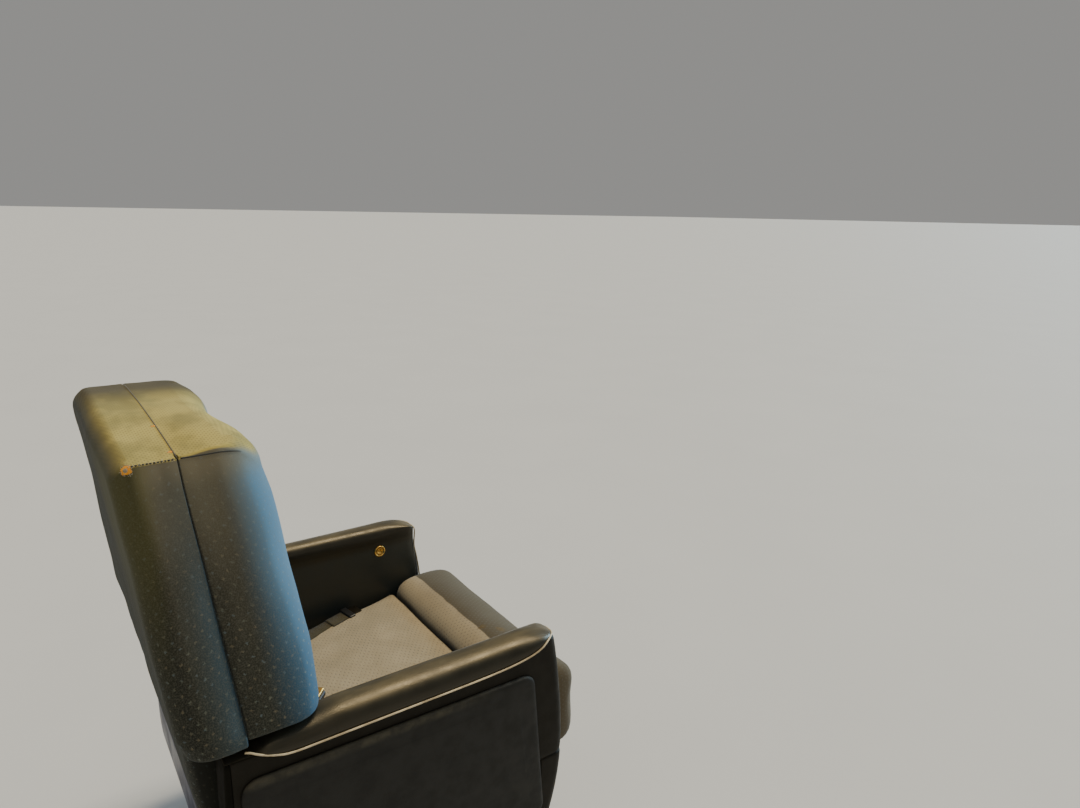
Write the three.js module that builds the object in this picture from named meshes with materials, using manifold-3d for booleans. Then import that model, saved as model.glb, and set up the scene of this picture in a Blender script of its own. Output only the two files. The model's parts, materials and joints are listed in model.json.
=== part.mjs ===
// Airliner lounge armchair: a cabin seat that swivels on a carpeted plinth and reclines between box arms.
// Millimetres, +Z up. The seat faces -Y, the occupant's left hand is at +X.
// The origin is on the floor, in the middle of the seat's outline.

import * as THREE from "three";
import { mergeVertices } from "three/addons/utils/BufferGeometryUtils.js";
import Module from "manifold-3d";

const wasm = await Module();
wasm.setup();

// Driving dimensions
const GAP = 0.3; // between pieces that touch
const SEAT_WIDTH = 760; // over the arms
const ARM_TOP = 620;
const ARM_THICKNESS = 75;
const PAD_SEAM = 577; // height of the seam between the arm's pad and its shell
const ARM_BOTTOM = 165;
const ARM_REAR = 338; // y of the arms' rear ends at their top
const RAIL_REAR = 342; // y of the rear rail's rear face
const ARM_FRONT = -352; // y of the foremost point of the arms' bowed front ends
const PANEL_PROUD = 8; // how far the padded side panel stands out of the arm shell
const CUSHION_TOP = 428; // at the front end of the main cushion
const CUSHION_SLOPE = 0.15; // how far its top falls for each mm towards the back
const CUSHION_FRONT = -442;
const RECLINE_PIVOT = { y: 326, z: 306 };
const PLINTH_TOP = 105;

// Places worked out from them
const armOuter = SEAT_WIDTH / 2;
const armInner = armOuter - ARM_THICKNESS;
const shellOuter = armOuter - PANEL_PROUD;
const shellTop = PAD_SEAM - GAP;
const cushionHalf = armInner - 8;
const panTop = 299;
const panBottom = panTop - 12;
const panFront = -342;
const panRear = 300;
const railTop = 286;
const shellRear = ARM_REAR - 18; // the leather rolls stand behind it

const colours = {
  fabric: { color: 0x3f5560, roughness: 0.95, metalness: 0 },
  cushionFabric: { color: 0x8a8d88, roughness: 0.95, metalness: 0 },
  leather: { color: 0x23282a, roughness: 0.45, metalness: 0 },
  panelLeather: { color: 0x2b2c2c, roughness: 0.6, metalness: 0 },
  brass: { color: 0xb08a3a, roughness: 0.3, metalness: 1 },
  steel: { color: 0x8d9194, roughness: 0.4, metalness: 1 },
  paintedRail: { color: 0x232743, roughness: 0.5, metalness: 0.2 },
  carpet: { color: 0x2b2a33, roughness: 1, metalness: 0 },
  webbing: { color: 0x34352a, roughness: 0.8, metalness: 0 },
  blackPlastic: { color: 0x151617, roughness: 0.5, metalness: 0 },
};

const seat = new THREE.Group();

function add(name, geometry, look) {
  const mesh = new THREE.Mesh(geometry, new THREE.MeshStandardMaterial(colours[look]));
  mesh.name = name;
  seat.add(mesh);
  return mesh;
}

// Position-only geometry with shared corners, faces turned outwards
function closed(geometry) {
  const bare = geometry.clone();
  for (const name of Object.keys(bare.attributes)) {
    if (name !== "position") bare.deleteAttribute(name);
  }
  const merged = mergeVertices(bare, 1e-3);
  const at = merged.attributes.position;
  const index = merged.index.array;
  const [a, b, c] = [new THREE.Vector3(), new THREE.Vector3(), new THREE.Vector3()];
  let volume = 0;
  for (let i = 0; i < index.length; i += 3) {
    a.fromBufferAttribute(at, index[i]);
    b.fromBufferAttribute(at, index[i + 1]);
    c.fromBufferAttribute(at, index[i + 2]);
    volume += a.dot(b.cross(c));
  }
  if (volume < 0) {
    for (let i = 0; i < index.length; i += 3) {
      [index[i], index[i + 1]] = [index[i + 1], index[i]];
    }
  }
  return merged;
}

function toSolid(geometry) {
  const shared = closed(geometry);
  return new wasm.Manifold(new wasm.Mesh({
    numProp: 3,
    vertProperties: new Float32Array(shared.attributes.position.array),
    triVerts: new Uint32Array(shared.index.array),
  }));
}

function fromSolid(solid) {
  const mesh = solid.getMesh();
  const geometry = new THREE.BufferGeometry();
  geometry.setAttribute("position", new THREE.Float32BufferAttribute(mesh.vertProperties, 3));
  geometry.setIndex(Array.from(mesh.triVerts));
  return geometry;
}

const join = (...pieces) => fromSolid(pieces.map(toSolid).reduce((whole, next) => whole.add(next)));
const cut = (body, ...tools) =>
  fromSolid(tools.map(toSolid).reduce((left, tool) => left.subtract(tool), toSolid(body)));

// A solid through rings of equally many points, with flat or cone ends
function loft(rings) {
  const count = rings[0].length;
  const points = rings.flat();
  const index = [];
  for (let r = 0; r + 1 < rings.length; r += 1) {
    for (let i = 0; i < count; i += 1) {
      const a = r * count + i;
      const b = r * count + ((i + 1) % count);
      index.push(a, b, b + count, a, b + count, a + count);
    }
  }
  for (const [ring, flip] of [[0, false], [rings.length - 1, true]]) {
    const middle = rings[ring].reduce((sum, p) => sum.add(p), new THREE.Vector3()).divideScalar(count);
    const hub = points.push(middle) - 1;
    for (let i = 0; i < count; i += 1) {
      const a = ring * count + i;
      const b = ring * count + ((i + 1) % count);
      index.push(...(flip ? [hub, a, b] : [hub, b, a]));
    }
  }
  const geometry = new THREE.BufferGeometry().setFromPoints(points);
  geometry.setIndex(index);
  return closed(geometry);
}

// A level ring with rounded corners. radii: front left, front right, rear right, rear left, seen from above
function levelRing({ x0, x1, front, rear, radii, z, steps = 4 }) {
  const corners = [
    { x: x0, y: front, sx: 1, sy: 1, from: 180 },
    { x: x1, y: front, sx: -1, sy: 1, from: 270 },
    { x: x1, y: rear, sx: -1, sy: -1, from: 0 },
    { x: x0, y: rear, sx: 1, sy: -1, from: 90 },
  ];
  return corners.flatMap((corner, k) => {
    const radius = radii[k];
    const centre = new THREE.Vector2(corner.x + corner.sx * radius, corner.y + corner.sy * radius);
    return Array.from({ length: steps + 1 }, (_, i) => {
      const angle = THREE.MathUtils.degToRad(corner.from + (90 * i) / steps);
      return new THREE.Vector3(centre.x + radius * Math.cos(angle), centre.y + radius * Math.sin(angle), z);
    });
  });
}

// A side outline, drawn as (y, z), given its width along X
function sideways(shape, x0, x1) {
  const settings = { depth: x1 - x0, bevelEnabled: false, curveSegments: 8 };
  const geometry = new THREE.ExtrudeGeometry(shape, settings);
  const axes = new THREE.Matrix4().makeBasis(
    new THREE.Vector3(0, 1, 0), new THREE.Vector3(0, 0, 1), new THREE.Vector3(1, 0, 0));
  return closed(geometry.applyMatrix4(axes).translate(x0, 0, 0));
}

// A plan outline, drawn as (x, y), given its height
function upright(shape, z0, z1, curveSegments = 8) {
  const geometry = new THREE.ExtrudeGeometry(shape, { depth: z1 - z0, bevelEnabled: false, curveSegments });
  return closed(geometry.translate(0, 0, z0));
}

function box(x0, x1, y0, y1, z0, z1) {
  const geometry = new THREE.BoxGeometry(x1 - x0, y1 - y0, z1 - z0);
  return closed(geometry.translate((x0 + x1) / 2, (y0 + y1) / 2, (z0 + z1) / 2));
}

function disc(radius, z0, z1, segments = 48) {
  const geometry = new THREE.CylinderGeometry(radius, radius, z1 - z0, segments);
  return closed(geometry.rotateX(Math.PI / 2).translate(0, 0, (z0 + z1) / 2));
}

function polygon(points) {
  return new THREE.Shape(points.map(([u, v]) => new THREE.Vector2(u, v)));
}

function roundedShape(u0, u1, v0, v1, radius) {
  const shape = new THREE.Shape();
  shape.moveTo(u0 + radius, v0);
  shape.lineTo(u1 - radius, v0);
  shape.absarc(u1 - radius, v0 + radius, radius, -Math.PI / 2, 0);
  shape.lineTo(u1, v1 - radius);
  shape.absarc(u1 - radius, v1 - radius, radius, 0, Math.PI / 2);
  shape.lineTo(u0 + radius, v1);
  shape.absarc(u0 + radius, v1 - radius, radius, Math.PI / 2, Math.PI);
  shape.lineTo(u0, v0 + radius);
  shape.absarc(u0 + radius, v0 + radius, radius, Math.PI, Math.PI * 1.5);
  return shape;
}

// Pieces that come in pairs are made at +X and mirrored for the occupant's right hand
const SIDES = [["left", 1], ["right", -1]];

function pair(name, make, look) {
  for (const [side, sign] of SIDES) {
    const geometry = make();
    add(`${name}_${side}`, sign > 0 ? geometry : closed(geometry.clone().scale(-1, 1, 1)), look);
  }
}

// Plinth and swivel
const SWIVEL_PLATE_RADIUS = 190;
const SPINDLE_RADIUS = 30;
const bearingBottom = PLINTH_TOP + 8 + GAP;
const swivelPlateBottom = bearingBottom + 14 + GAP;
const frameBottom = swivelPlateBottom + 20 + GAP;

function makePlinth() {
  // height, half width, half depth: the upper faces slope in
  const sections = [[0, 262, 280], [62, 262, 280], [PLINTH_TOP, 226, 244]];
  return loft(sections.map(([z, halfWidth, halfDepth]) => levelRing({
    x0: -halfWidth, x1: halfWidth, front: -halfDepth, rear: halfDepth, radii: [18, 18, 18, 18], z,
  })));
}

function makeBearing() {
  const ring = new THREE.Shape();
  ring.absarc(0, 0, 170, 0, Math.PI * 2);
  ring.holes.push(new THREE.Path().absarc(0, 0, 120, 0, Math.PI * 2, true));
  return upright(ring, bearingBottom, bearingBottom + 14, 24);
}

function makeSwivelPlate() {
  const plate = new THREE.Shape();
  plate.absarc(0, 0, SWIVEL_PLATE_RADIUS, 0, Math.PI * 2);
  plate.holes.push(new THREE.Path().absarc(0, 0, SPINDLE_RADIUS + GAP, 0, Math.PI * 2, true));
  return upright(plate, swivelPlateBottom, swivelPlateBottom + 20, 24);
}

// Beams that carry the pan, left and right of the spindle
const BEAM = { inner: 110, outer: 165, front: -250, rear: 270 };
const makeBeam = () => box(BEAM.inner, BEAM.outer, BEAM.front, BEAM.rear, frameBottom, panBottom - GAP);

const makePlinthPlate = () =>
  upright(roundedShape(-215, 215, -230, 230, 12), PLINTH_TOP + GAP, PLINTH_TOP + 8);

add("plinth", makePlinth(), "carpet");
add("plinth_plate", makePlinthPlate(), "steel");
add("swivel_bearing", makeBearing(), "steel");
add("swivel_spindle", disc(SPINDLE_RADIUS, PLINTH_TOP + 8 + GAP, frameBottom + 30), "steel");
add("swivel_plate", makeSwivelPlate(), "steel");
pair("seat_beam", makeBeam, "steel");

// Seat pan, rear rail and rear roll
const FRONT_PANEL_DEPTH = 25;
const panHalf = armInner - GAP;

const makeFrontPanel = () =>
  box(-panHalf, panHalf, panFront, panFront + FRONT_PANEL_DEPTH, ARM_BOTTOM, panBottom - GAP);

add("seat_pan", box(-panHalf, panHalf, panFront, panRear, panBottom, panTop), "steel");
add("front_panel", makeFrontPanel(), "leather");

function makeRearRail() {
  // Its lower corners are rounded, so the strip's ends seem to curve down
  const half = shellOuter;
  const [bottom, top, round] = [195, railTop, 42];
  const strip = new THREE.Shape();
  strip.moveTo(-half + round, bottom);
  strip.lineTo(half - round, bottom);
  strip.absarc(half - round, bottom + round, round, -Math.PI / 2, 0);
  strip.lineTo(half, top);
  strip.lineTo(-half, top);
  strip.lineTo(-half, bottom + round);
  strip.absarc(-half + round, bottom + round, round, Math.PI, Math.PI * 1.5);
  const depth = RAIL_REAR - shellRear - GAP;
  const geometry = new THREE.ExtrudeGeometry(strip, { depth, bevelEnabled: false, curveSegments: 6 });
  return closed(geometry.rotateX(Math.PI / 2).translate(0, RAIL_REAR, 0));
}

const ROLL_HALF = 254;
const ROLL_TOP = 350;

function makeRearRoll() {
  const [front, rear, bottom, round] = [panRear + GAP, RAIL_REAR - 2, railTop + GAP, 24];
  const side = new THREE.Shape();
  side.moveTo(front, bottom);
  side.lineTo(rear - round / 2, bottom);
  side.absarc(rear - round, bottom + round, round, -Math.PI / 3, 0);
  side.lineTo(rear, ROLL_TOP - round);
  side.absarc(rear - round, ROLL_TOP - round, round, 0, Math.PI / 2);
  side.lineTo(front, ROLL_TOP);
  return sideways(side, -ROLL_HALF, ROLL_HALF);
}

add("rear_rail", makeRearRail(), "paintedRail");
add("rear_roll", makeRearRoll(), "fabric");

// Arms
// Bow of the arms' front ends, seen from the side, about its foremost point
const FRONT_BOW = { height: 350, radiusAbove: 990, radiusBelow: 585 };
const FRONT_CORNER = 22; // radius of the arms' outer front corners
const FOOT_TOP = 318;
const FOOT_REAR = -288;

function frontAt(z) {
  const radius = z > FRONT_BOW.height ? FRONT_BOW.radiusAbove : FRONT_BOW.radiusBelow;
  return ARM_FRONT + radius - Math.sqrt(radius ** 2 - (z - FRONT_BOW.height) ** 2);
}

function armRing(z, front) {
  const radii = [8, FRONT_CORNER, 2, 2];
  return levelRing({ x0: armInner, x1: shellOuter, front, rear: shellRear, radii, z });
}

function makeArmShell() {
  const lower = [ARM_BOTTOM, FOOT_TOP + GAP].map((z) => armRing(z, FOOT_REAR + GAP));
  const upper = [FOOT_TOP + GAP, 400, 470, 530, shellTop].map((z) => armRing(z, frontAt(z)));
  return loft([...lower, ...upper]);
}

function makeArmFoot() {
  const heights = [ARM_BOTTOM, 240, FOOT_TOP];
  return loft(heights.map((z) => levelRing({
    x0: armInner, x1: shellOuter, front: frontAt(z), rear: FOOT_REAR, radii: [8, FRONT_CORNER, 1, 1], z,
  })));
}

// Cross-section of the pad, seen along Y: outer edge, crown and inner edge
function padRing(y, outer, crown) {
  const low = PAD_SEAM + GAP;
  const rise = crown - low;
  const width = outer - armInner;
  const outline = [
    [0, 0], [0, 0.55], [0.06, 0.82], [0.2, 0.97], [0.42, 1],
    [0.64, 0.96], [0.82, 0.8], [0.95, 0.45], [1, 0],
  ]; // share of the width, share of the rise
  return outline.map(([u, v]) => new THREE.Vector3(armInner + width * u, y, low + rise * v));
}

function makeArmPad() {
  // y, outer edge, crown height: low behind its rounded rear end, pressed down under the back,
  // rounded in plan at the front end
  const sections = [
    [ARM_REAR, shellOuter, ARM_TOP - 23], [290, shellOuter, ARM_TOP - 22], [276, armOuter, ARM_TOP - 13],
    [262, armOuter, ARM_TOP - 8], [196, armOuter, ARM_TOP - 7], [155, armOuter, ARM_TOP],
    [-264, armOuter, ARM_TOP], [-292, armOuter - 5, ARM_TOP - 1], [-311, armOuter - 18, ARM_TOP - 6],
    [-321, armOuter - 32, ARM_TOP - 14], [-326, armOuter - 44, ARM_TOP - 24],
  ];
  return loft(sections.map(([y, outer, crown]) => padRing(y, outer, crown)));
}

function makeRearArmRoll() {
  // height and y of the rear face: the roll swells a little between its ends
  const sections = [[railTop + GAP, 337], [330, 341], [430, 342], [520, 341], [shellTop, ARM_REAR]];
  const edge = 1; // radius of its corners at the arm shell
  const round = 15; // radius of its rear corners: with the edge, less than the roll's least depth
  return loft(sections.map(([z, rear]) => levelRing({
    x0: armInner, x1: shellOuter, front: shellRear + GAP, rear, radii: [edge, edge, round, round], z,
  })));
}

function makeSidePanel() {
  const [rearTop, frontTop, bottom, round] = [551, 541, 185, 28];
  const [rear, frontHigh, frontLow] = [shellRear - 2, -264, -296];
  const outline = new THREE.Shape();
  outline.moveTo(frontLow + round, bottom);
  outline.lineTo(rear - round, bottom);
  outline.absarc(rear - round, bottom + round, round, -Math.PI / 2, 0);
  outline.lineTo(rear, rearTop - round);
  outline.absarc(rear - round, rearTop - round, round, 0, Math.PI / 2);
  outline.lineTo(frontHigh + round, frontTop);
  outline.absarc(frontHigh + round, frontTop - round, round, Math.PI / 2, Math.PI);
  outline.lineTo(frontLow, bottom + round);
  outline.absarc(frontLow + round, bottom + round, round, Math.PI, Math.PI * 1.5);
  return sideways(outline, shellOuter + GAP, armOuter);
}

pair("arm_shell", makeArmShell, "leather");
pair("arm_foot", makeArmFoot, "leather");
pair("arm_pad", makeArmPad, "leather");
pair("arm_rear_roll", makeRearArmRoll, "leather");
pair("side_panel", makeSidePanel, "panelLeather");

// Round controls in the arms' inner faces: a brass ring with a button in it
const CONTROL = { y: -224, z: 555, ring: 16, button: 9.5, proud: 4 };

function makeControl(radius, hole, proud) {
  const outline = new THREE.Shape();
  outline.absarc(CONTROL.y, CONTROL.z, radius, 0, Math.PI * 2);
  if (hole) outline.holes.push(new THREE.Path().absarc(CONTROL.y, CONTROL.z, hole, 0, Math.PI * 2, true));
  return sideways(outline, armInner - GAP - proud, armInner - GAP);
}

pair("control_ring", () => makeControl(CONTROL.ring, CONTROL.button + GAP, CONTROL.proud), "brass");
pair("control_button", () => makeControl(CONTROL.button, 0, CONTROL.proud - 1), "brass");

// Seat cushions
const CUSHION_REAR = 243;
const CUSHION_SEAM = -254; // y of the sewn channel in front of the main cushion
const CHANNEL_BOTTOM = 408;
const REAR_EDGE = 18; // the main cushion's bevelled rear edge: its depth and its drop
const FRONT_EDGE = 8;

const cushionTopAt = (y) => CUSHION_TOP - (y - CUSHION_SEAM) * CUSHION_SLOPE;

function makeSeatCushion() {
  const [rearShoulder, frontShoulder] = [CUSHION_REAR - REAR_EDGE, CUSHION_SEAM + FRONT_EDGE];
  return sideways(polygon([
    [CUSHION_REAR, panTop + GAP], [CUSHION_REAR, cushionTopAt(rearShoulder) - REAR_EDGE],
    [rearShoulder, cushionTopAt(rearShoulder)], [frontShoulder, cushionTopAt(frontShoulder)],
    [CUSHION_SEAM + GAP, CHANNEL_BOTTOM], [CUSHION_SEAM + GAP, panTop + GAP],
  ]), -cushionHalf, cushionHalf);
}

function makeFrontCushion() {
  return sideways(polygon([
    [CUSHION_SEAM, panTop + GAP], [CUSHION_SEAM, CHANNEL_BOTTOM], [-260, 438], [-276, 457],
    [-304, 467], [-345, 472], [-385, 471], [-414, 464], [CUSHION_FRONT + 9, 450], [CUSHION_FRONT, 425],
    [CUSHION_FRONT, 290], [CUSHION_FRONT + 14, 262], [CUSHION_FRONT + 40, 254],
    [panFront - GAP, 254], [panFront - GAP, panTop + GAP],
  ]), -cushionHalf, cushionHalf);
}

add("seat_cushion", makeSeatCushion(), "cushionFabric");
add("front_cushion", makeFrontCushion(), "cushionFabric");

// Back: an upholstered shell, wide above the arms and narrow between them, with a sewn front cushion
const BACK_NARROW_HALF = 285;
const CUSHION_WIDE_BOTTOM = ARM_TOP - 2; // over the pads, which are pressed down there
const SHELL_WIDE_BOTTOM = ARM_TOP - 16; // behind the pads' rounded rear ends
const SHELL_BOTTOM = 365;
const BACK_CUSHION_BOTTOM = 388;

// height, half width, and y of the rear face, of the seam between shell and cushion, and of the front
const WIDE_SECTIONS = [
  { z: 640, half: 374, rear: 399, seam: 299, front: 177 },
  { z: 741, half: 352, rear: 409, seam: 310, front: 176 },
  { z: 824, half: 336, rear: 417, seam: 319, front: 184 },
  { z: 916, half: 318, rear: 425, seam: 328, front: 196 },
  { z: 994, half: 303, rear: 434, seam: 337, front: 208 },
  { z: 1041, half: 294, rear: 440, seam: 342, front: 219 },
  { z: 1076, half: 284, rear: 442, seam: 345, front: 232 },
  { z: 1096, half: 268, rear: 428, seam: 346, front: 252 },
];
const SHELL_HEM = { z: SHELL_WIDE_BOTTOM, half: 370, rear: 386, seam: 296.6 };
const CUSHION_HEM = { z: CUSHION_WIDE_BOTTOM, half: 370, seam: 297.5, front: 192 };
const NARROW_SECTIONS = [
  { z: 640, half: BACK_NARROW_HALF, rear: 392, seam: 299, front: 188 },
  { z: 610, half: BACK_NARROW_HALF, rear: 387, seam: 297, front: 188 },
  { z: 500, half: BACK_NARROW_HALF, rear: 374, seam: 290, front: 188 },
];
const SHELL_LOW = { z: 410, half: BACK_NARROW_HALF, rear: 363, seam: 288.4 };
const SHELL_FOOT = { z: SHELL_BOTTOM, half: BACK_NARROW_HALF, rear: 344, seam: 288 };
const CUSHION_FOOT = { z: BACK_CUSHION_BOTTOM, half: BACK_NARROW_HALF, seam: 288, front: 204 };

function shellRing({ z, half, rear, seam }) {
  return levelRing({ x0: -half, x1: half, front: seam + GAP, rear, radii: [4, 4, 26, 26], z });
}

function backCushionRing({ z, half, seam, front }) {
  return levelRing({ x0: -half, x1: half, front, rear: seam, radii: [38, 38, 4, 4], z });
}

function makeBackShell() {
  const [wide, narrow] = [[SHELL_HEM, ...WIDE_SECTIONS], [...NARROW_SECTIONS, SHELL_LOW, SHELL_FOOT]];
  return join(loft(wide.map(shellRing)), loft(narrow.map(shellRing)));
}

function makeBackCushion() {
  const [wide, narrow] = [[CUSHION_HEM, ...WIDE_SECTIONS], [...NARROW_SECTIONS, CUSHION_FOOT]];
  return join(loft(wide.map(backCushionRing)), loft(narrow.map(backCushionRing)));
}

add("back_shell", makeBackShell(), "fabric");
add("back_cushion", makeBackCushion(), "fabric");

// Recline hinges: lugs on the seat, brackets on the back, a pin through both
const PIN_RADIUS = 6;
const LUG_RADIUS = 13;
const bracketInner = 262.5;
const bracketOuter = 272;
const lugOuter = 282;
const BRACKET_REACH = 36; // how far the back's bracket runs forward of the pin
const PIN_OVERHANG = 4; // at each end

function hingePlate(points, x0, x1) {
  const { y, z } = RECLINE_PIVOT;
  const round = new THREE.CylinderGeometry(LUG_RADIUS, LUG_RADIUS, x1 - x0, 24)
    .rotateZ(Math.PI / 2).translate((x0 + x1) / 2, y, z);
  const bore = new THREE.CylinderGeometry(PIN_RADIUS + GAP, PIN_RADIUS + GAP, x1 - x0 + 2, 24)
    .rotateZ(Math.PI / 2).translate((x0 + x1) / 2, y, z);
  return cut(join(round, sideways(polygon(points), x0, x1)), bore);
}

function makeSeatLug() {
  const { y, z } = RECLINE_PIVOT;
  const low = railTop + GAP;
  return hingePlate([
    [panRear + GAP, low], [y + LUG_RADIUS, low], [y + LUG_RADIUS, z], [y, z + LUG_RADIUS],
    [panRear + GAP, low + 12],
  ], bracketOuter + GAP, lugOuter);
}

function makeBackBracket() {
  const { y, z } = RECLINE_PIVOT;
  const top = SHELL_BOTTOM - GAP;
  return hingePlate([
    [y + LUG_RADIUS, z], [y + LUG_RADIUS - 4, top], [y - BRACKET_REACH, top], [y - LUG_RADIUS, z],
  ], bracketInner, bracketOuter);
}

function makeHingePin() {
  const { y, z } = RECLINE_PIVOT;
  const length = lugOuter - bracketInner + 2 * PIN_OVERHANG;
  return closed(new THREE.CylinderGeometry(PIN_RADIUS, PIN_RADIUS, length, 24)
    .rotateZ(Math.PI / 2).translate((bracketInner + lugOuter) / 2, y, z));
}

pair("hinge_lug", makeSeatLug, "steel");
pair("hinge_bracket", makeBackBracket, "steel");
pair("hinge_pin", makeHingePin, "steel");

// Lap belt: two halves that come up behind the cushion and lie on it
const WEBBING_THICKNESS = 2;
const WEBBING_WIDTH = 46;
const BELT_DROP_Y = 252;
const BELT_LOW = 312;

// The webbing's path seen from the side, as outline points of one band
function bandOutline(path, thickness) {
  const along = path.map(([y, z]) => new THREE.Vector2(y, z));
  const offset = along.map((point, i) => {
    const before = along[Math.max(i - 1, 0)];
    const after = along[Math.min(i + 1, along.length - 1)];
    const run = after.clone().sub(before).normalize();
    return point.clone().add(new THREE.Vector2(run.y, -run.x).multiplyScalar(thickness));
  });
  return new THREE.Shape([...along, ...offset.reverse()]);
}

function makeBelt(endY) {
  const lieAt = (y) => [y, cushionTopAt(y) + GAP];
  const path = [
    [BELT_DROP_Y, BELT_LOW], [BELT_DROP_Y, 348], [CUSHION_REAR - 4, 360],
    lieAt(CUSHION_REAR - REAR_EDGE - 6), lieAt(120), lieAt(endY),
  ];
  return sideways(bandOutline(path, WEBBING_THICKNESS), -WEBBING_WIDTH / 2, WEBBING_WIDTH / 2);
}

// x where each half comes up, y of its free end, and how far it moves along +X for each mm forward
const BELTS = {
  left: { x: 195, endY: -112, lean: 0.2 },
  right: { x: -172, endY: 106, lean: 1 },
};

// Slants a piece that was made at x = 0 and puts it on its belt's line
function onBelt(geometry, { x, lean }) {
  const slant = new THREE.Matrix4().set(1, -lean, 0, lean * BELT_DROP_Y, 0, 1, 0, 0, 0, 0, 1, 0, 0, 0, 0, 1);
  return closed(geometry.applyMatrix4(slant).translate(x, 0, 0));
}

// The tongue of the left half and the buckle of the right half lie on the cushion past the webbing
const FITTINGS = {
  belt_tongue: { belt: "left", length: 36, height: 5, look: "blackPlastic" },
  belt_buckle: { belt: "right", length: 60, height: 18, look: "brass" },
};

function makeFitting({ endY }, { length, height }) {
  const half = WEBBING_WIDTH / 2 + 3;
  const [front, rear] = [endY - GAP - length, endY - GAP];
  const low = (y) => cushionTopAt(y) + GAP;
  return sideways(polygon([
    [front, low(front)], [rear, low(rear)], [rear, low(rear) + height], [front, low(front) + height],
  ]), -half, half);
}

function makeBeltAnchor() {
  const front = BELT_DROP_Y + WEBBING_THICKNESS + GAP;
  return box(-16, 16, front, front + 5, panTop + GAP, BELT_LOW + 14);
}

for (const [side, belt] of Object.entries(BELTS)) {
  add(`belt_${side}`, onBelt(makeBelt(belt.endY), belt), "webbing");
  add(`belt_anchor_${side}`, makeBeltAnchor().translate(belt.x, 0, 0), "steel");
}
for (const [name, fitting] of Object.entries(FITTINGS)) {
  const belt = BELTS[fitting.belt];
  add(name, onBelt(makeFitting(belt, fitting), belt), fitting.look);
}

export default seat;
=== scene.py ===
import json
import math
import random

import bpy
import bmesh
from mathutils import Matrix, Vector, noise

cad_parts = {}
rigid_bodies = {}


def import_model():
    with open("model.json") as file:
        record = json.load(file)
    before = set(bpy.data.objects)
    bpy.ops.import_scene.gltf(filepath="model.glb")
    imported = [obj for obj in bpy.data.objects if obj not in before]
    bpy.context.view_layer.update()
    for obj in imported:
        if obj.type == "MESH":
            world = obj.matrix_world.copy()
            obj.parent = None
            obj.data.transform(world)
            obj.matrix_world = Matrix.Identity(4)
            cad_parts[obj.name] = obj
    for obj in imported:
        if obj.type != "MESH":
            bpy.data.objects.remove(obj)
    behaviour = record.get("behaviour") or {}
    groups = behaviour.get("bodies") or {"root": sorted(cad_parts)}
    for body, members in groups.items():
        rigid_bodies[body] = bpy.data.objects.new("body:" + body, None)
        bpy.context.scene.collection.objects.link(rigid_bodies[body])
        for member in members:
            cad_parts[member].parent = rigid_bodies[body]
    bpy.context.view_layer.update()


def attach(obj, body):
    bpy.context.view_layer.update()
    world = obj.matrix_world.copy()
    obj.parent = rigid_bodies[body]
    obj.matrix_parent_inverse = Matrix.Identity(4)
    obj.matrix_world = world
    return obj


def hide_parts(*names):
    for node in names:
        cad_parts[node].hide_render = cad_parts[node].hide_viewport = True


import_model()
scene = bpy.context.scene
random.seed(7)

# Camera: place in metres, heading from +X towards -Y, focal length in pixels of a 1080 wide picture
CAMERA = {"place": (-1.4943, 0.5352, 1.4591), "heading": 35.6, "pitch": 14.19, "roll": -1.06, "focal": 757.9}
PICTURE_WIDTH = 1080
SENSOR = 36


def make_camera():
    heading = math.radians(CAMERA["heading"])
    pitch = math.radians(CAMERA["pitch"])
    roll = math.radians(CAMERA["roll"])
    flat = math.cos(pitch)
    ahead = Vector((math.cos(heading) * flat, -math.sin(heading) * flat, -math.sin(pitch)))
    level = ahead.cross(Vector((0, 0, 1))).normalized()
    down = ahead.cross(level)
    right = math.cos(roll) * level + math.sin(roll) * down
    below = -math.sin(roll) * level + math.cos(roll) * down
    turn = Matrix((right, -below, -ahead)).transposed().to_4x4()
    turn.translation = Vector(CAMERA["place"])
    lens = bpy.data.cameras.new("camera")
    lens.sensor_width = SENSOR
    lens.lens = CAMERA["focal"] / PICTURE_WIDTH * SENSOR
    camera = bpy.data.objects.new("camera", lens)
    camera.matrix_world = turn
    scene.collection.objects.link(camera)
    scene.camera = camera


make_camera()


# Materials

NOISE_ROUGH = 0.55


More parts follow.
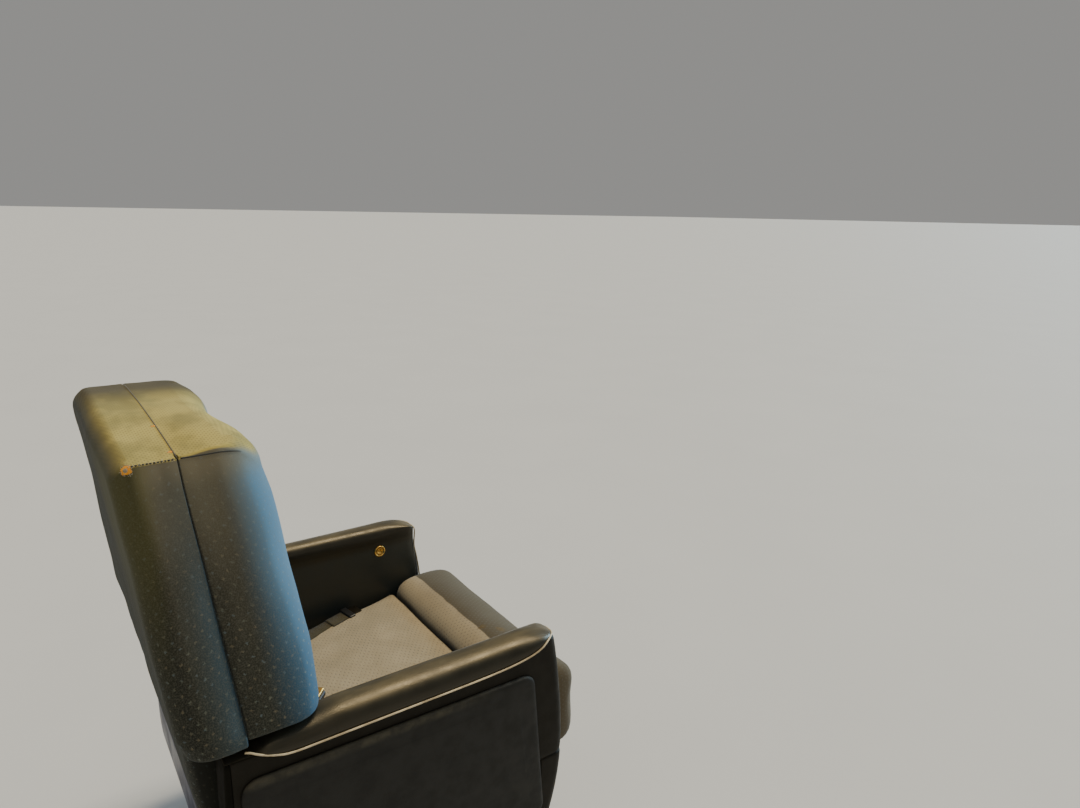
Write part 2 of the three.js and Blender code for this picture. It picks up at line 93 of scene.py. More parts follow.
class Look:
    """A node material and short calls that add its nodes."""

    def __init__(self, name, rough, **constants):
        self.material = bpy.data.materials.new(name)
        self.material.use_nodes = True
        self.tree = self.material.node_tree
        self.shader = self.tree.nodes["Principled BSDF"]
        self.shader.inputs["Roughness"].default_value = rough
        for socket, value in constants.items():
            self.shader.inputs[socket.replace("_", " ")].default_value = value
        places = self.tree.nodes.new("ShaderNodeTexCoord")
        self.at = places.outputs["Object"]
        self.uv = places.outputs["UV"]
        self.x, self.y, self.z = self.add("SeparateXYZ", {0: self.at}).outputs
        self.u, self.v, _ = self.add("SeparateXYZ", {0: self.uv}).outputs
        normal = places.outputs["Normal"]
        self.facing_x, self.facing_y, self.facing_z = self.add("SeparateXYZ", {0: normal}).outputs

    def put(self, socket, value):
        if isinstance(value, bpy.types.NodeSocket):
            self.tree.links.new(value, socket)
        elif socket.type == "RGBA" and len(value) == 3:
            socket.default_value = (*value, 1)
        else:
            socket.default_value = value

    def add(self, kind, inputs, **settings):
        """A node with its settings, and its inputs by number or name."""
        node = self.tree.nodes.new("ShaderNode" + kind)
        for name, value in settings.items():
            setattr(node, name, value)
        for key, value in inputs.items():
            self.put(node.inputs[key], value)
        return node

    def math(self, kind, *values):
        return self.add("Math", dict(enumerate(values)), operation=kind).outputs[0]

    def times(self, product, *others):
        for other in others:
            product = self.math("MULTIPLY", product, other)
        return product

    def less(self, a, b):
        return self.math("SUBTRACT", a, b)

    def size(self, value):
        return self.math("ABSOLUTE", value)

    def stretched(self, vector, scale, move=(0, 0, 0)):
        return self.add("Mapping", {"Vector": vector, "Scale": scale, "Location": move}).outputs[0]

    def noise(self, scale, detail=3.0, where=None):
        inputs = {"Vector": where or self.at, "Scale": scale, "Detail": detail, "Roughness": NOISE_ROUGH}
        return self.add("TexNoise", inputs).outputs["Fac"]

    def cells(self, scale):
        return self.add("TexVoronoi", {"Vector": self.at, "Scale": scale}).outputs["Distance"]

    def range(self, *values):
        """A value's place between a low and a high one, eased, from 0 to 1 or from start to end."""
        numbers = values + (0.0, 1.0)[len(values) - 3:]
        return self.add("MapRange", dict(enumerate(numbers)), interpolation_type="SMOOTHSTEP").outputs[0]

    def blend(self, factor, a, b):
        return self.add("Mix", {"Factor": factor, 6: a, 7: b}, data_type="RGBA").outputs[2]

    def bump(self, height, distance, strength):
        return self.add("Bump", {"Height": height, "Distance": distance, "Strength": strength}).outputs[0]

    def finish(self, colour, rough, normal):
        for socket, value in (("Base Color", colour), ("Roughness", rough), ("Normal", normal)):
            if value is not None:
                self.put(self.shader.inputs[socket], value)
        return self.material


def dimmed(colour, by):
    return tuple(by * c for c in colour)


def staggered(look, value, pitch, shift):
    """Distance in metres to the nearest of a row of points."""
    share = look.math("FRACT", look.math("ADD", look.math("DIVIDE", value, pitch), shift))
    return look.size(look.times(look.less(share, 0.5), pitch))


def crosses(look, pitch_u, pitch_v, reach, narrow=1.0, ragged=0.0, spike=0.5):
    """Small crosses in staggered rows: 1 on a cross, 0 between them; a larger spike is rounder."""
    u, v = look.u, look.v
    if ragged:
        elsewhere = look.stretched(look.at, (1, 1, 1), (4, 2, 1))
        u = look.math("MULTIPLY_ADD", look.noise(230, 1), ragged, u)
        v = look.math("MULTIPLY_ADD", look.noise(230, 1, elsewhere), ragged, v)
    marks = []
    for shift in (0.0, 0.5):
        a = look.math("DIVIDE", staggered(look, u, pitch_u, shift), narrow)
        b = staggered(look, v, pitch_v, shift)
        star = look.math("ADD", look.math("POWER", a, spike), look.math("POWER", b, spike))
        marks.append(look.range(star, reach ** spike * 0.8, reach ** spike * 1.5, 1.0, 0.0))
    return look.math("MAXIMUM", *marks)


def weave(look):
    """Height of a plain weave with uneven yarns."""
    warp = look.noise(900, 1.0, look.stretched(look.uv, (1, 0.25, 1)))
    weft = look.noise(900, 1.0, look.stretched(look.uv, (0.25, 1, 1), (3, 1, 0)))
    return look.math("MAXIMUM", warp, weft)


# Tones of the back's cloth by place, as linear red, green and blue
# The sides' tones below are partly soil and partly painted shade; the bluish one by the seam is partly
# painted cool light.
SIDE_SOIL_AND_SHADE = {"thin": (0.040, 0.038, 0.027), "thick": (0.064, 0.059, 0.041), "low": (0.017, 0.020, 0.015),
        "high": (0.135, 0.122, 0.082), "by_seam": (0.043, 0.072, 0.092), "under_top": (0.240, 0.205, 0.130)}
BLUE = {"dull": (0.065, 0.165, 0.270), "bright": (0.105, 0.220, 0.340), "low": (0.020, 0.085, 0.165),
        "faded": (0.235, 0.235, 0.175)}
DOT = {"sand": (0.36, 0.30, 0.19), "sage": (0.30, 0.34, 0.27), "blue": (0.24, 0.33, 0.38)}
KHAKI = {"dull": (0.285, 0.238, 0.066), "bright": (0.47, 0.385, 0.108), "left": (0.050, 0.037, 0.016),
         "rear": (0.040, 0.037, 0.020), "dash": (0.13, 0.10, 0.04)}
# Painted light and shade on the back's cloth, besides its flecks: a darker rear, shade under the hem, a pale
# band round the near rear corner and a darker rear edge.
WEAR_AND_PAINTED_LIGHT = {"rear": (0.015, 0.016, 0.012), "fleck": (0.15, 0.15, 0.12), "under_hem_shade": (0.007, 0.0075, 0.0055),
        "green": (0.105, 0.100, 0.032), "rear_edge": (0.012, 0.012, 0.008)}


def soiled_and_shaded_sides(look, patch, offset):
    """Brown of the back's sides, from soil and painted shade: darkest low down, bluish just behind the seam
    in part as painted cool light, paler near the top.
    """
    colour = look.blend(patch, SIDE_SOIL_AND_SHADE["thin"], SIDE_SOIL_AND_SHADE["thick"])
    colour = look.blend(look.range(look.z, 0.62, 0.95, 0.9, 0.0), colour, SIDE_SOIL_AND_SHADE["low"])
    colour = look.blend(look.range(look.z, 0.86, 1.06, 0.0, 0.75), colour, SIDE_SOIL_AND_SHADE["high"])
    bluish = look.times(look.range(offset, -0.001, 0.001), look.range(offset, 0.065, 0.002),
                        look.range(look.z, 0.80, 1.05, 0.70, 0.30))
    colour = look.blend(bluish, colour, SIDE_SOIL_AND_SHADE["by_seam"])
    return look.blend(look.range(look.z, 1.030, 1.086, 0.0, 0.55), colour, SIDE_SOIL_AND_SHADE["under_top"])


def clean_and_lit_front(look, patch):
    """Blue of the back's front, partly its own colour and partly painted cool light; deeper low down and
    faded just under the top.
    """
    colour = look.blend(patch, BLUE["dull"], BLUE["bright"])
    colour = look.blend(look.range(look.z, 0.60, 0.95, 0.85, 0.0), colour, BLUE["low"])
    return look.blend(look.range(look.z, 1.02, 1.075, 0.0, 0.6), colour, BLUE["faded"])


def dot_thread(look):
    """Colour of the woven dots, which changes from yarn to yarn."""
    yarn = look.noise(38, 0)
    colour = look.blend(look.range(yarn, 0.42, 0.5), DOT["sand"], DOT["sage"])
    return look.blend(look.range(yarn, 0.52, 0.6), colour, DOT["blue"])


def khaki_top(look):
    """Faded cloth on top of the back, with small dashes; a painted shadow darkens it towards the left and
    painted shade towards the rear.
    """
    patch = look.noise(8, 4, look.stretched(look.at, (1, 1.6, 1)))
    tone = look.blend(look.range(patch, 0.38, 0.62), KHAKI["dull"], KHAKI["bright"])
    # Painted shadow towards the left, and painted shade towards the rear.
    tone = look.blend(look.range(look.x, 0.03, 0.22, 0.0, 0.94), tone, KHAKI["left"])
    tone = look.blend(look.range(look.y, 0.405, 0.440, 0.0, 0.95), tone, KHAKI["rear"])
    dash = crosses(look, 0.0125, 0.008, 0.0018, 2.4)
    return look.blend(look.times(dash, 0.5), tone, KHAKI["dash"])


def back_cloth(name, share):
    """Blue cloth with small woven crosses: brown on its sides from soil and painted shade, darker at the rear
    as painted shade, faded to khaki on top.

    share: how far the parts that face forward keep their clean blue, which is partly painted cool light.
    """
    look = Look(name, 0.92, Sheen_Weight=0.07, Sheen_Roughness=0.5, Sheen_Tint=(0.7, 0.82, 0.9, 1),
                Specular_IOR_Level=0.2)
    patch = look.noise(7, 4)
    fleck = look.noise(420, 2)
    offset = look.less(look.y, look.math("MULTIPLY_ADD", look.z, SEAM_LEAN, SEAM_FOOT))
    # Forward-facing parts keep the blue, partly painted cool light, and the sides turn brown, partly painted
    # shade.
    ahead = look.math("MAXIMUM", look.range(look.facing_y, -0.03, -0.60, 0.0, share),
                      look.range(offset, -0.040, -0.108, 0.0, 0.66))
    colour = look.blend(ahead, soiled_and_shaded_sides(look, patch, offset), clean_and_lit_front(look, patch))
    # Parts facing rearward are darkened as painted shade.
    colour = look.blend(look.range(look.facing_y, -0.06, 0.34, 0.0, 0.85), colour, WEAR_AND_PAINTED_LIGHT["rear"])
    colour = look.blend(look.range(fleck, 0.35, 0.75, 0.0, 0.32), colour, WEAR_AND_PAINTED_LIGHT["fleck"])
    uneven = look.range(look.noise(14, 2), 0.3, 0.7, 0.5, 1.0)
    strength = look.times(look.range(look.z, 0.62, 1.04, 0.26, 0.13), uneven)
    if share < 1:
        # Painted shade on the narrow part's sides under the wide part's hem, where the woven dots fade as
        # well.
        aside = look.range(look.size(look.facing_x), 0.45, 0.75)
        under = look.times(aside, look.range(look.z, 0.604, 0.596))
        colour = look.blend(look.times(under, 0.85), colour, WEAR_AND_PAINTED_LIGHT["under_hem_shade"])
        strength = look.times(strength, look.less(1.0, look.times(under, 0.8)))
    dots = look.times(crosses(look, DOT_ACROSS, DOT_ALONG, DOT_REACH, 1.0, 0.006, 0.72), strength)
    colour = look.blend(dots, colour, dot_thread(look))
    # A paler olive tone round the near rear corner, high up, is a painted highlight.
    green = look.times(look.range(look.y, 0.375, 0.405), look.range(look.z, 0.72, 1.0, 0.1, 0.8),
                       look.range(look.x, 0.05, -0.2), 0.6)
    colour = look.blend(green, colour, WEAR_AND_PAINTED_LIGHT["green"])
    # Near the rear, surfaces that don't face rearward are darkened as painted shade.
    rear_edge = look.times(look.range(look.y, 0.402, 0.428, 0.0, 0.62), look.range(look.facing_y, 0.55, 0.15))
    colour = look.blend(rear_edge, colour, WEAR_AND_PAINTED_LIGHT["rear_edge"])
    # The near front top corner keeps the front's blue, partly painted cool light, instead of the khaki.
    corner = look.times(look.range(look.x, -0.258, -0.286), look.range(look.y, 0.272, 0.235), 0.55)
    faded = look.times(look.range(look.facing_z, 0.24, 0.62, 0.0, 0.97), look.range(look.z, 0.80, 0.98),
                       look.less(1.0, corner))
    colour = look.blend(faded, colour, khaki_top(look))
    pile = look.math("MULTIPLY_ADD", weave(look), 0.6, look.times(dots, 0.8))
    return look.finish(colour, look.range(fleck, 0.2, 0.8, 0.86, 0.98), look.bump(pile, 0.0007, 0.55))


# Beige tones: the first two are painted shadow on the front cushion, the stain and dash are its own colours,
# and the groove's is painted shade.
BEIGE = {"front": (0.115, 0.090, 0.055), "painted_shadow": (0.057, 0.045, 0.023), "stain": (0.115, 0.076, 0.024),
         "dash": (0.11, 0.1, 0.085), "groove": (0.016, 0.014, 0.010)}


def with_shadow_and_stains(look, colour):
    """The front cushion's front part darkened as painted shadow, and its two brown stains."""
    # Forward-facing parts are darkened as painted shadow, and so is the front part beyond a ragged line.
    colour = look.blend(look.range(look.facing_y, -0.25, -0.75, 0.0, 0.42), colour, BEIGE["front"])
    shadow_border = look.math("MULTIPLY_ADD", look.noise(30, 2), 0.006, look.y)
    colour = look.blend(look.range(shadow_border, -0.311, -0.315, 0.0, 0.91), colour, BEIGE["painted_shadow"])
    for x, y, reach in STAINS:
        du = look.less(look.x, x)
        dv = look.less(look.y, y)
        far = look.math("SQRT", look.math("ADD", look.times(du, du), look.times(dv, dv)))
        ragged = look.math("ADD", far, look.times(look.noise(60, 3), 0.02))
        stain = look.range(ragged, reach, reach + 0.010, 0.75, 0.0)
        colour = look.blend(stain, colour, BEIGE["stain"])
    return colour


def seat_cloth(name, dull, bright, soiled=False):
    """Beige cloth with small dark dashes, with painted shade in the groove between the cushions."""
    look = Look(name, 0.9, Sheen_Weight=0.12, Sheen_Roughness=0.5, Specular_IOR_Level=0.2)
    fleck = look.noise(500, 2)
    colour = look.blend(look.range(look.noise(9, 4), 0.3, 0.7), dull, bright)
    colour = look.blend(look.range(fleck, 0.3, 0.8, 0.0, 0.35), colour, dimmed(dull, 0.7))
    # soiled: painted shadow on the front part, and two stains.
    if soiled:
        colour = with_shadow_and_stains(look, colour)
    dash = crosses(look, 0.017, 0.0125, 0.0018, 2.4)
    mark = look.times(dash, look.range(look.noise(20, 2), 0.3, 0.7, 0.3, 0.75))
    colour = look.blend(mark, colour, BEIGE["dash"])
    # Painted shade in the groove between the seat cushion and the front cushion.
    groove = look.range(look.size(look.less(look.y, GROOVE)), 0.0022, 0.0085, 0.92, 0.0)
    colour = look.blend(groove, colour, BEIGE["groove"])
    pile = look.math("MULTIPLY_ADD", weave(look), 0.6, look.times(dash, -0.7))
    return look.finish(colour, look.range(fleck, 0.2, 0.8, 0.84, 0.96), look.bump(pile, 0.0007, 0.5))


# The outer tone is painted shade on the arm pads' outer flanks.
HIDE = {"inner": (0.024, 0.030, 0.029), "outer": (0.006, 0.0068, 0.0056)}
PANEL = {"dark": (0.0070, 0.0071, 0.0058), "light": (0.0098, 0.0098, 0.0080), "edge": (0.075, 0.070, 0.056),
         "band": (0.050, 0.046, 0.031)}
CORD = {"clean": (0.66, 0.56, 0.37), "soiled": (0.34, 0.27, 0.16), "low": (0.16, 0.115, 0.055)}


def grained(look, colour, smooth, cells, scale, detail):
    """Leather's last step: pebbles and creases as relief."""
    relief = look.math("MULTIPLY_ADD", cells, 0.6, look.times(look.noise(scale, detail), 0.5))
    return look.finish(colour, smooth, look.bump(relief, 0.0005, 0.4))


def hide(name, dark, light, rough, gloss, worn=None):
    """Leather with darker pores; a worn colour makes it that of the arm pads: a pale gold crown, partly wear
    and partly a painted highlight, with painted shade on the pad's outer flank and rear end.
    """
    look = Look(name, rough, Specular_IOR_Level=gloss, Specular_Tint=(1.0, 0.88, 0.67, 1))
    cells = look.cells(520)
    colour = look.blend(look.noise(8, 4), dark, light)
    colour = look.blend(look.range(cells, 0.25, 0.7, 0.0, 0.35), colour, dimmed(dark, 0.5))
    smooth = look.range(look.noise(30, 4), 0.3, 0.7, rough - 0.05, rough + 0.09)
    if worn:
        # The crown's pale gold is partly rubbed wear and partly a painted highlight.
        streaks = look.noise(24, 5, look.stretched(look.at, (1, 0.25, 1)))
        rubbed = look.range(streaks, 0.3, 0.68, 0.25, 1.0)
        crown = look.times(look.range(look.facing_z, 0.45, 0.98), look.range(look.z, 0.585, 0.612))
        colour = look.blend(look.times(crown, rubbed, look.range(look.y, 0.19, 0.12)), colour, worn)
        aside = look.size(look.facing_x)
        inner = look.times(look.range(aside, 0.75, 0.95), look.range(look.z, 0.575, 0.555))
        colour = look.blend(inner, colour, HIDE["inner"])
        # The pad's outer flank is darkened as painted shade.
        outer = look.times(look.range(aside, 0.55, 0.90), look.range(look.z, 0.575, 0.582, 0.0, 0.8))
        colour = look.blend(outer, colour, HIDE["outer"])
        # The pad's rear end, under the back's hem, is darkened as painted shade and made rougher.
        tucked = look.range(look.y, 0.262, 0.292)
        colour = look.blend(tucked, colour, dimmed(dark, 0.4))
        smooth = look.math("MAXIMUM", smooth, look.times(tucked, 0.9))
    return grained(look, colour, smooth, cells, 260, 4)


def panel_hide():
    """Matt leather of the sewn panels: pale on upward-facing edges, partly rubbed wear and partly a painted
    highlight, and rubbed pale in a band under the upper edge.
    """
    look = Look("panel_leather", 0.55, Specular_IOR_Level=0.26)
    colour = look.blend(look.noise(10, 4), PANEL["dark"], PANEL["light"])
    rubbed = look.range(look.noise(40, 5), 0.35, 0.65, 0.35, 1.0)
    # Upward-facing edges turn pale: partly rubbed wear, partly a painted highlight.
    edge = look.times(look.range(look.facing_z, 0.3, 0.9), rubbed)
    colour = look.blend(edge, colour, PANEL["edge"])
    rise = look.less(look.z, look.math("MULTIPLY_ADD", look.y, 0.0172, 0.5455))
    band = look.times(look.range(rise, -0.020, -0.006), look.range(look.y, -0.19, -0.05), rubbed)
    colour = look.blend(band, colour, PANEL["band"])
    smooth = look.range(look.noise(30, 4), 0.3, 0.7, 0.48, 0.64)
    return grained(look, colour, smooth, look.cells(480), 240, 3)


def cord_hide():
    """Pale leather of the piping, browner where it runs down the arm's front."""
    look = Look("piping_leather", 0.4, Specular_IOR_Level=0.5)
    colour = look.blend(look.range(look.noise(35, 4), 0.35, 0.7), CORD["clean"], CORD["soiled"])
    low = look.times(look.range(look.y, -0.322, -0.330), look.range(look.z, 0.599, 0.594), 0.8)
    colour = look.blend(low, colour, CORD["low"])
    return look.finish(colour, None, look.bump(look.noise(600, 2), 0.0003, 0.4))


TUFT = {"gap": (0.018, 0.016, 0.024), "tip": (0.115, 0.1, 0.13)}
TWILL = {"dark": (0.034, 0.027, 0.010), "light": (0.062, 0.050, 0.020), "edge": (0.018, 0.015, 0.008)}
TWILL_TURNS = 2600.0
ROW_TURNS = 3200.0


def carpet():
    """Carpet with diagonal ribs, with painted shade in the ribs' hollows and between its tufts."""
    look = Look("carpet", 0.95, Sheen_Weight=0.2, Specular_IOR_Level=0.15)
    slant = look.math("ADD", look.u, look.times(look.v, RIB_SLANT))
    rib = look.math("SINE", look.times(slant, 2 * math.pi / CARPET_RIB))
    tuft = look.noise(500, 3)
    shade = look.math("MULTIPLY_ADD", rib, 0.3, tuft)
    colour = look.blend(look.range(shade, 0.15, 0.85), TUFT["gap"], TUFT["tip"])
    return look.finish(colour, None, look.bump(tuft, 0.0015, 0.7))


def webbing():
    """Olive twill with darker edges as painted shade."""
    look = Look("webbing", 0.75, Sheen_Weight=0.15, Specular_IOR_Level=0.35)
    aside = look.size(look.v)
    twill = look.math("SINE", look.times(look.math("ADD", look.u, aside), TWILL_TURNS))
    rows = look.math("SINE", look.times(look.v, ROW_TURNS))
    colour = look.blend(look.range(twill, -1.0, 1.0), TWILL["dark"], TWILL["light"])
    # The edges are darkened as painted shade.
    colour = look.blend(look.range(aside, 0.017, 0.021), colour, TWILL["edge"])
    relief = look.math("ADD", twill, rows)
    smooth = look.range(look.noise(60, 3), 0.3, 0.7, 0.62, 0.8)
    return look.finish(colour, smooth, look.bump(relief, 0.0003, 0.5))


def metal(name, colour, rough, brushed=(1, 1, 12), dull=None):
    look = Look(name, rough, Metallic=1.0)
    streak = look.noise(90, 4, look.stretched(look.at, brushed))
    tone = look.blend(look.range(look.noise(18, 4), 0.35, 0.7), colour, dull or dimmed(colour, 0.72))
    smooth = look.range(streak, 0.2, 0.8, rough - 0.08, rough + 0.14)
    return look.finish(tone, smooth, look.bump(streak, 0.0002, 0.35))


def paint(name, colour, rough=0.4):
    look = Look(name, rough, Specular_IOR_Level=0.5)
    worn = look.range(look.noise(26, 6), 0.58, 0.72, 0.0, 0.45)
    tone = look.blend(worn, colour, tuple(1.9 * c + 0.01 for c in colour))
    smooth = look.range(look.noise(14, 4), 0.3, 0.7, rough - 0.08, rough + 0.12)
    return look.finish(tone, smooth, look.bump(look.noise(700, 2), 0.0002, 0.4))


def foam():
    look = Look("torn_foam", 0.95, Subsurface_Weight=0.1)
    colour = look.blend(look.noise(160, 4), (0.82, 0.25, 0.012), (0.95, 0.43, 0.040))
    return look.finish(colour, None, look.bump(look.cells(900), 0.001, 0.8))


def thread(name, colour):
    look = Look(name, 0.8, Sheen_Weight=0.2)
    tone = look.blend(look.noise(300, 3), colour, dimmed(colour, 0.55))
    return look.finish(tone, None, look.bump(look.noise(1500, 2), 0.0003, 0.5))


# Lines and patterns that the materials follow, in metres; a stain is its x, y and reach
CARPET_RIB = 0.0085
RIB_SLANT = 0.8
SEAM_LEAN = 0.102
SEAM_FOOT = 0.2343
GROOVE = -0.2545
STAINS = ((-0.066, -0.326, 0.012), (-0.098, -0.357, 0.014))
DOT_ACROSS = 0.022
DOT_ALONG = 0.025
DOT_REACH = 0.0026
BACK_CLOTH = back_cloth("back_fabric", 1.0)
SHELL_CLOTH = back_cloth("shell_fabric", 0.5)
SEAT_CLOTH = seat_cloth("cushion_fabric", (0.31, 0.255, 0.160), (0.42, 0.345, 0.225))
ROLL_CLOTH = seat_cloth("front_cushion_fabric", (0.31, 0.252, 0.162), (0.39, 0.322, 0.210), True)
# The arm leather's worn colour is partly wear and partly a painted highlight.
LEATHER = hide("arm_leather", (0.014, 0.0150, 0.0110), (0.024, 0.0250, 0.0198), 0.33, 0.46,
               (0.112, 0.089, 0.047))
SIDE_LEATHER = hide("side_leather", (0.0055, 0.0056, 0.0050), (0.010, 0.0100, 0.0088), 0.52, 0.16)
# The rear leather is a little darker than the side leather, as painted shade behind the arms.
REAR_LEATHER = hide("rear_leather", (0.0050, 0.0052, 0.0042), (0.009, 0.0092, 0.0075), 0.75, 0.08)
PANEL_LEATHER = panel_hide()
PIPING = cord_hide()
CARPET = carpet()
WEBBING = webbing()
BRASS = metal("brass", (0.72, 0.46, 0.13), 0.24, (1, 1, 1), (0.5, 0.28, 0.07))
ALLOY = metal("frame_metal", (0.46, 0.47, 0.48), 0.38)
STEEL = metal("pin_steel", (0.55, 0.55, 0.56), 0.28)
RAIL_PAINT = paint("rail_paint", (0.022, 0.028, 0.075))
PLASTIC = paint("black_plastic", (0.016, 0.016, 0.017), 0.38)
BLACKED = metal("blacked_metal", (0.050, 0.044, 0.034), 0.42)
TRIM = paint("edge_trim", (0.33, 0.31, 0.28), 0.45)
FOAM = foam()
PALE_THREAD = thread("pale_thread", (0.62, 0.58, 0.42))
DARK_THREAD = thread("dark_thread", (0.018, 0.019, 0.016))
SEAM_THREAD = thread("seam_thread", (0.085, 0.068, 0.030))
SCRAP = thread("frayed_scrap", (0.33, 0.29, 0.19))


# Mesh helpers

def faced_out(mesh, merge=0.0):
    """Turns all faces outwards, after points closer than `merge` are made one."""
    work = bmesh.new()
    work.from_mesh(mesh)
    if merge:
        bmesh.ops.remove_doubles(work, verts=work.verts, dist=merge)
    bmesh.ops.recalc_face_normals(work, faces=work.faces)
    work.to_mesh(mesh)
    work.free()


def make(name, points, faces, look, uvs=None):
    mesh = bpy.data.meshes.new(name)
    mesh.from_pydata([tuple(p) for p in points], [], faces)
    if uvs:
        layer = mesh.uv_layers.new(name="UVMap")
        for polygon, corners in zip(mesh.polygons, uvs):
            for loop, uv in zip(polygon.loop_indices, corners):
                layer.data[loop].uv = uv
    mesh.materials.append(look)
    faced_out(mesh)
    for polygon in mesh.polygons:
        polygon.use_smooth = True
    piece = bpy.data.objects.new(name, mesh)
    scene.collection.objects.link(piece)
    return piece


def set_up(piece, body, slot, *nodes, fill=None):
    """Attaches the piece to its body and hides the CAD nodes it replaces; slot and fill are not used."""
    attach(piece, body)
    if nodes:
        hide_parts(*nodes)
    return piece


def subdivided(piece):
    """The piece with its mesh subdivided once."""
    smooth = piece.modifiers.new("smooth", "SUBSURF")
    smooth.levels = 1
    smooth.render_levels = 1
    smooth.uv_smooth = "PRESERVE_BOUNDARIES"
    bpy.context.view_layer.update()
    view = bpy.context.evaluated_depsgraph_get()
    mesh = bpy.data.meshes.new_from_object(piece.evaluated_get(view))
    piece.modifiers.clear()
    old = piece.data
    piece.data = mesh
    bpy.data.meshes.remove(old)
    mesh.name = piece.name
    return piece


def relief(piece, depth):
    """Moves each vertex by depth(place, normal): a distance along its normal, or a whole move."""
    mesh = piece.data
    normals = [v.normal.copy() for v in mesh.vertices]
    places = [v.co.copy() for v in mesh.vertices]
    for vertex, place, normal in zip(mesh.vertices, places, normals):
        move = depth(place, normal)
        vertex.co = place + (move if isinstance(move, Vector) else normal * move)
    mesh.update()
    return piece


def step(value, low, high):
    """0 below low, 1 above high, eased between them."""
    t = min(1.0, max(0.0, (value - low) / (high - low)))
    return t * t * (3 - 2 * t)


def along(table, key):
    """Value at a key, straight between the (key, value) rows of a table, which may be in any order."""
    rows = sorted(table)
    if key <= rows[0][0]:
        return rows[0][1]
    for (a, start), (b, end) in zip(rows, rows[1:]):
        if key <= b:
            t = (key - a) / (b - a)
            return start + (end - start) * t
    return rows[-1][1]


def runs_along(path):
    """Length of a path up to each of its points."""
    runs = [0.0]
    for a, b in zip(path, path[1:]):
        runs.append(runs[-1] + (b - a).length)
    return runs


def heading(path, k, closed=False):
    """Direction of a path at its point k."""
    ahead = path[(k + 1) % len(path) if closed else min(k + 1, len(path) - 1)]
    behind = path[k - 1 if closed else max(k - 1, 0)]
    return (ahead - behind).normalized()


def rectangle(left, low, right, high):
    return [(left, low), (right, low), (right, high), (left, high)]


def level(plan, z):
    """An outline's points at one height."""
    return [Vector((p.x, p.y, z)) for p in plan]


def band(a, b, size):
    """Faces between two rings of points, given by the numbers of their first points."""
    return [(a + n, a + (n + 1) % size, b + (n + 1) % size, b + n) for n in range(size)]


def band_uvs(runs, widths):
    """UVs of the faces between rings: runs along the rings, widths round them."""
    return [[(a, u), (a, v), (b, v), (b, u)]
            for a, b in zip(runs, runs[1:]) for u, v in zip(widths, widths[1:])]


def end_faces(rings, size):
    """A face over the first ring and one over the last."""
    return [list(range(k * size, (k + 1) * size)) for k in (0, rings - 1)]


def outline(corners, radii, counts, arc=3):
    """Points round a rounded polygon. Side k runs from the middle of corner k's arc to the next one's."""
    size = len(corners)
    points = [Vector(c) for c in corners]
    arcs = []
    for k in range(size):
        corner = points[k]
        back = (points[k - 1] - corner).normalized()
        on = (points[(k + 1) % size] - corner).normalized()
        half = back.angle(on) / 2
        middle = corner + (back + on).normalized() * radii[k] / math.sin(half)
        first = corner + back * radii[k] / math.tan(half) - middle
        last = corner + on * radii[k] / math.tan(half) - middle
        swing = math.pi - 2 * half
        row = []
        for s in range(2 * arc + 1):
            t = s / (2 * arc)
            turned = first * math.sin((1 - t) * swing) + last * math.sin(t * swing)
            row.append(middle + turned / math.sin(swing))
        arcs.append(row)
    ring = []
    for k in range(size):
        here = arcs[k]
        there = arcs[(k + 1) % size]
        ring += here[arc:-1]
        straight = counts[k % len(counts)] - 2 * arc
        for s in range(straight):
            ring.append(here[-1].lerp(there[0], s / straight))
        ring += there[:arc]
    return ring


def cap_points(ring, nu, nv, shape):
    """Points of a Coons patch over a ring, each moved by shape(place, s, t)."""
    size = len(ring)
    low = ring[:nu + 1]
    right = ring[nu:nu + nv + 1]
    high = ring[nu + nv:2 * nu + nv + 1][::-1]
    left = (ring[2 * nu + nv:] + ring[:1])[::-1]
    assert size == 2 * (nu + nv)
    rows = {}
    for i in range(nu + 1):
        for j in range(nv + 1):
            s = i / nu
            t = j / nv
            across = left[j] * (1 - s) + right[j] * s
            upward = low[i] * (1 - t) + high[i] * t
            corner = (low[0] * (1 - s) + low[nu] * s) * (1 - t) + (high[0] * (1 - s) + high[nu] * s) * t
            rows[i, j] = shape(across + upward - corner, s, t)
    return rows


def ring_index(i, j, nu, nv):
    """Place on the ring of a lattice point on the patch's edge, or None."""
    if j == 0:
        return i
    if i == nu:
        return nu + j
    if j == nv:
        return nu + nv + nu - i
    if i == 0:
        return 2 * (nu + nv) - j
    return None


def as_it_is(place, s, t):
    return place


def crowned(axis, height):
    """A cap shape that swells along an axis towards its middle."""
    def shape(place, s, t):
        place[axis] += height * math.sin(math.pi * s) * math.sin(math.pi * t)
        return place
    return shape


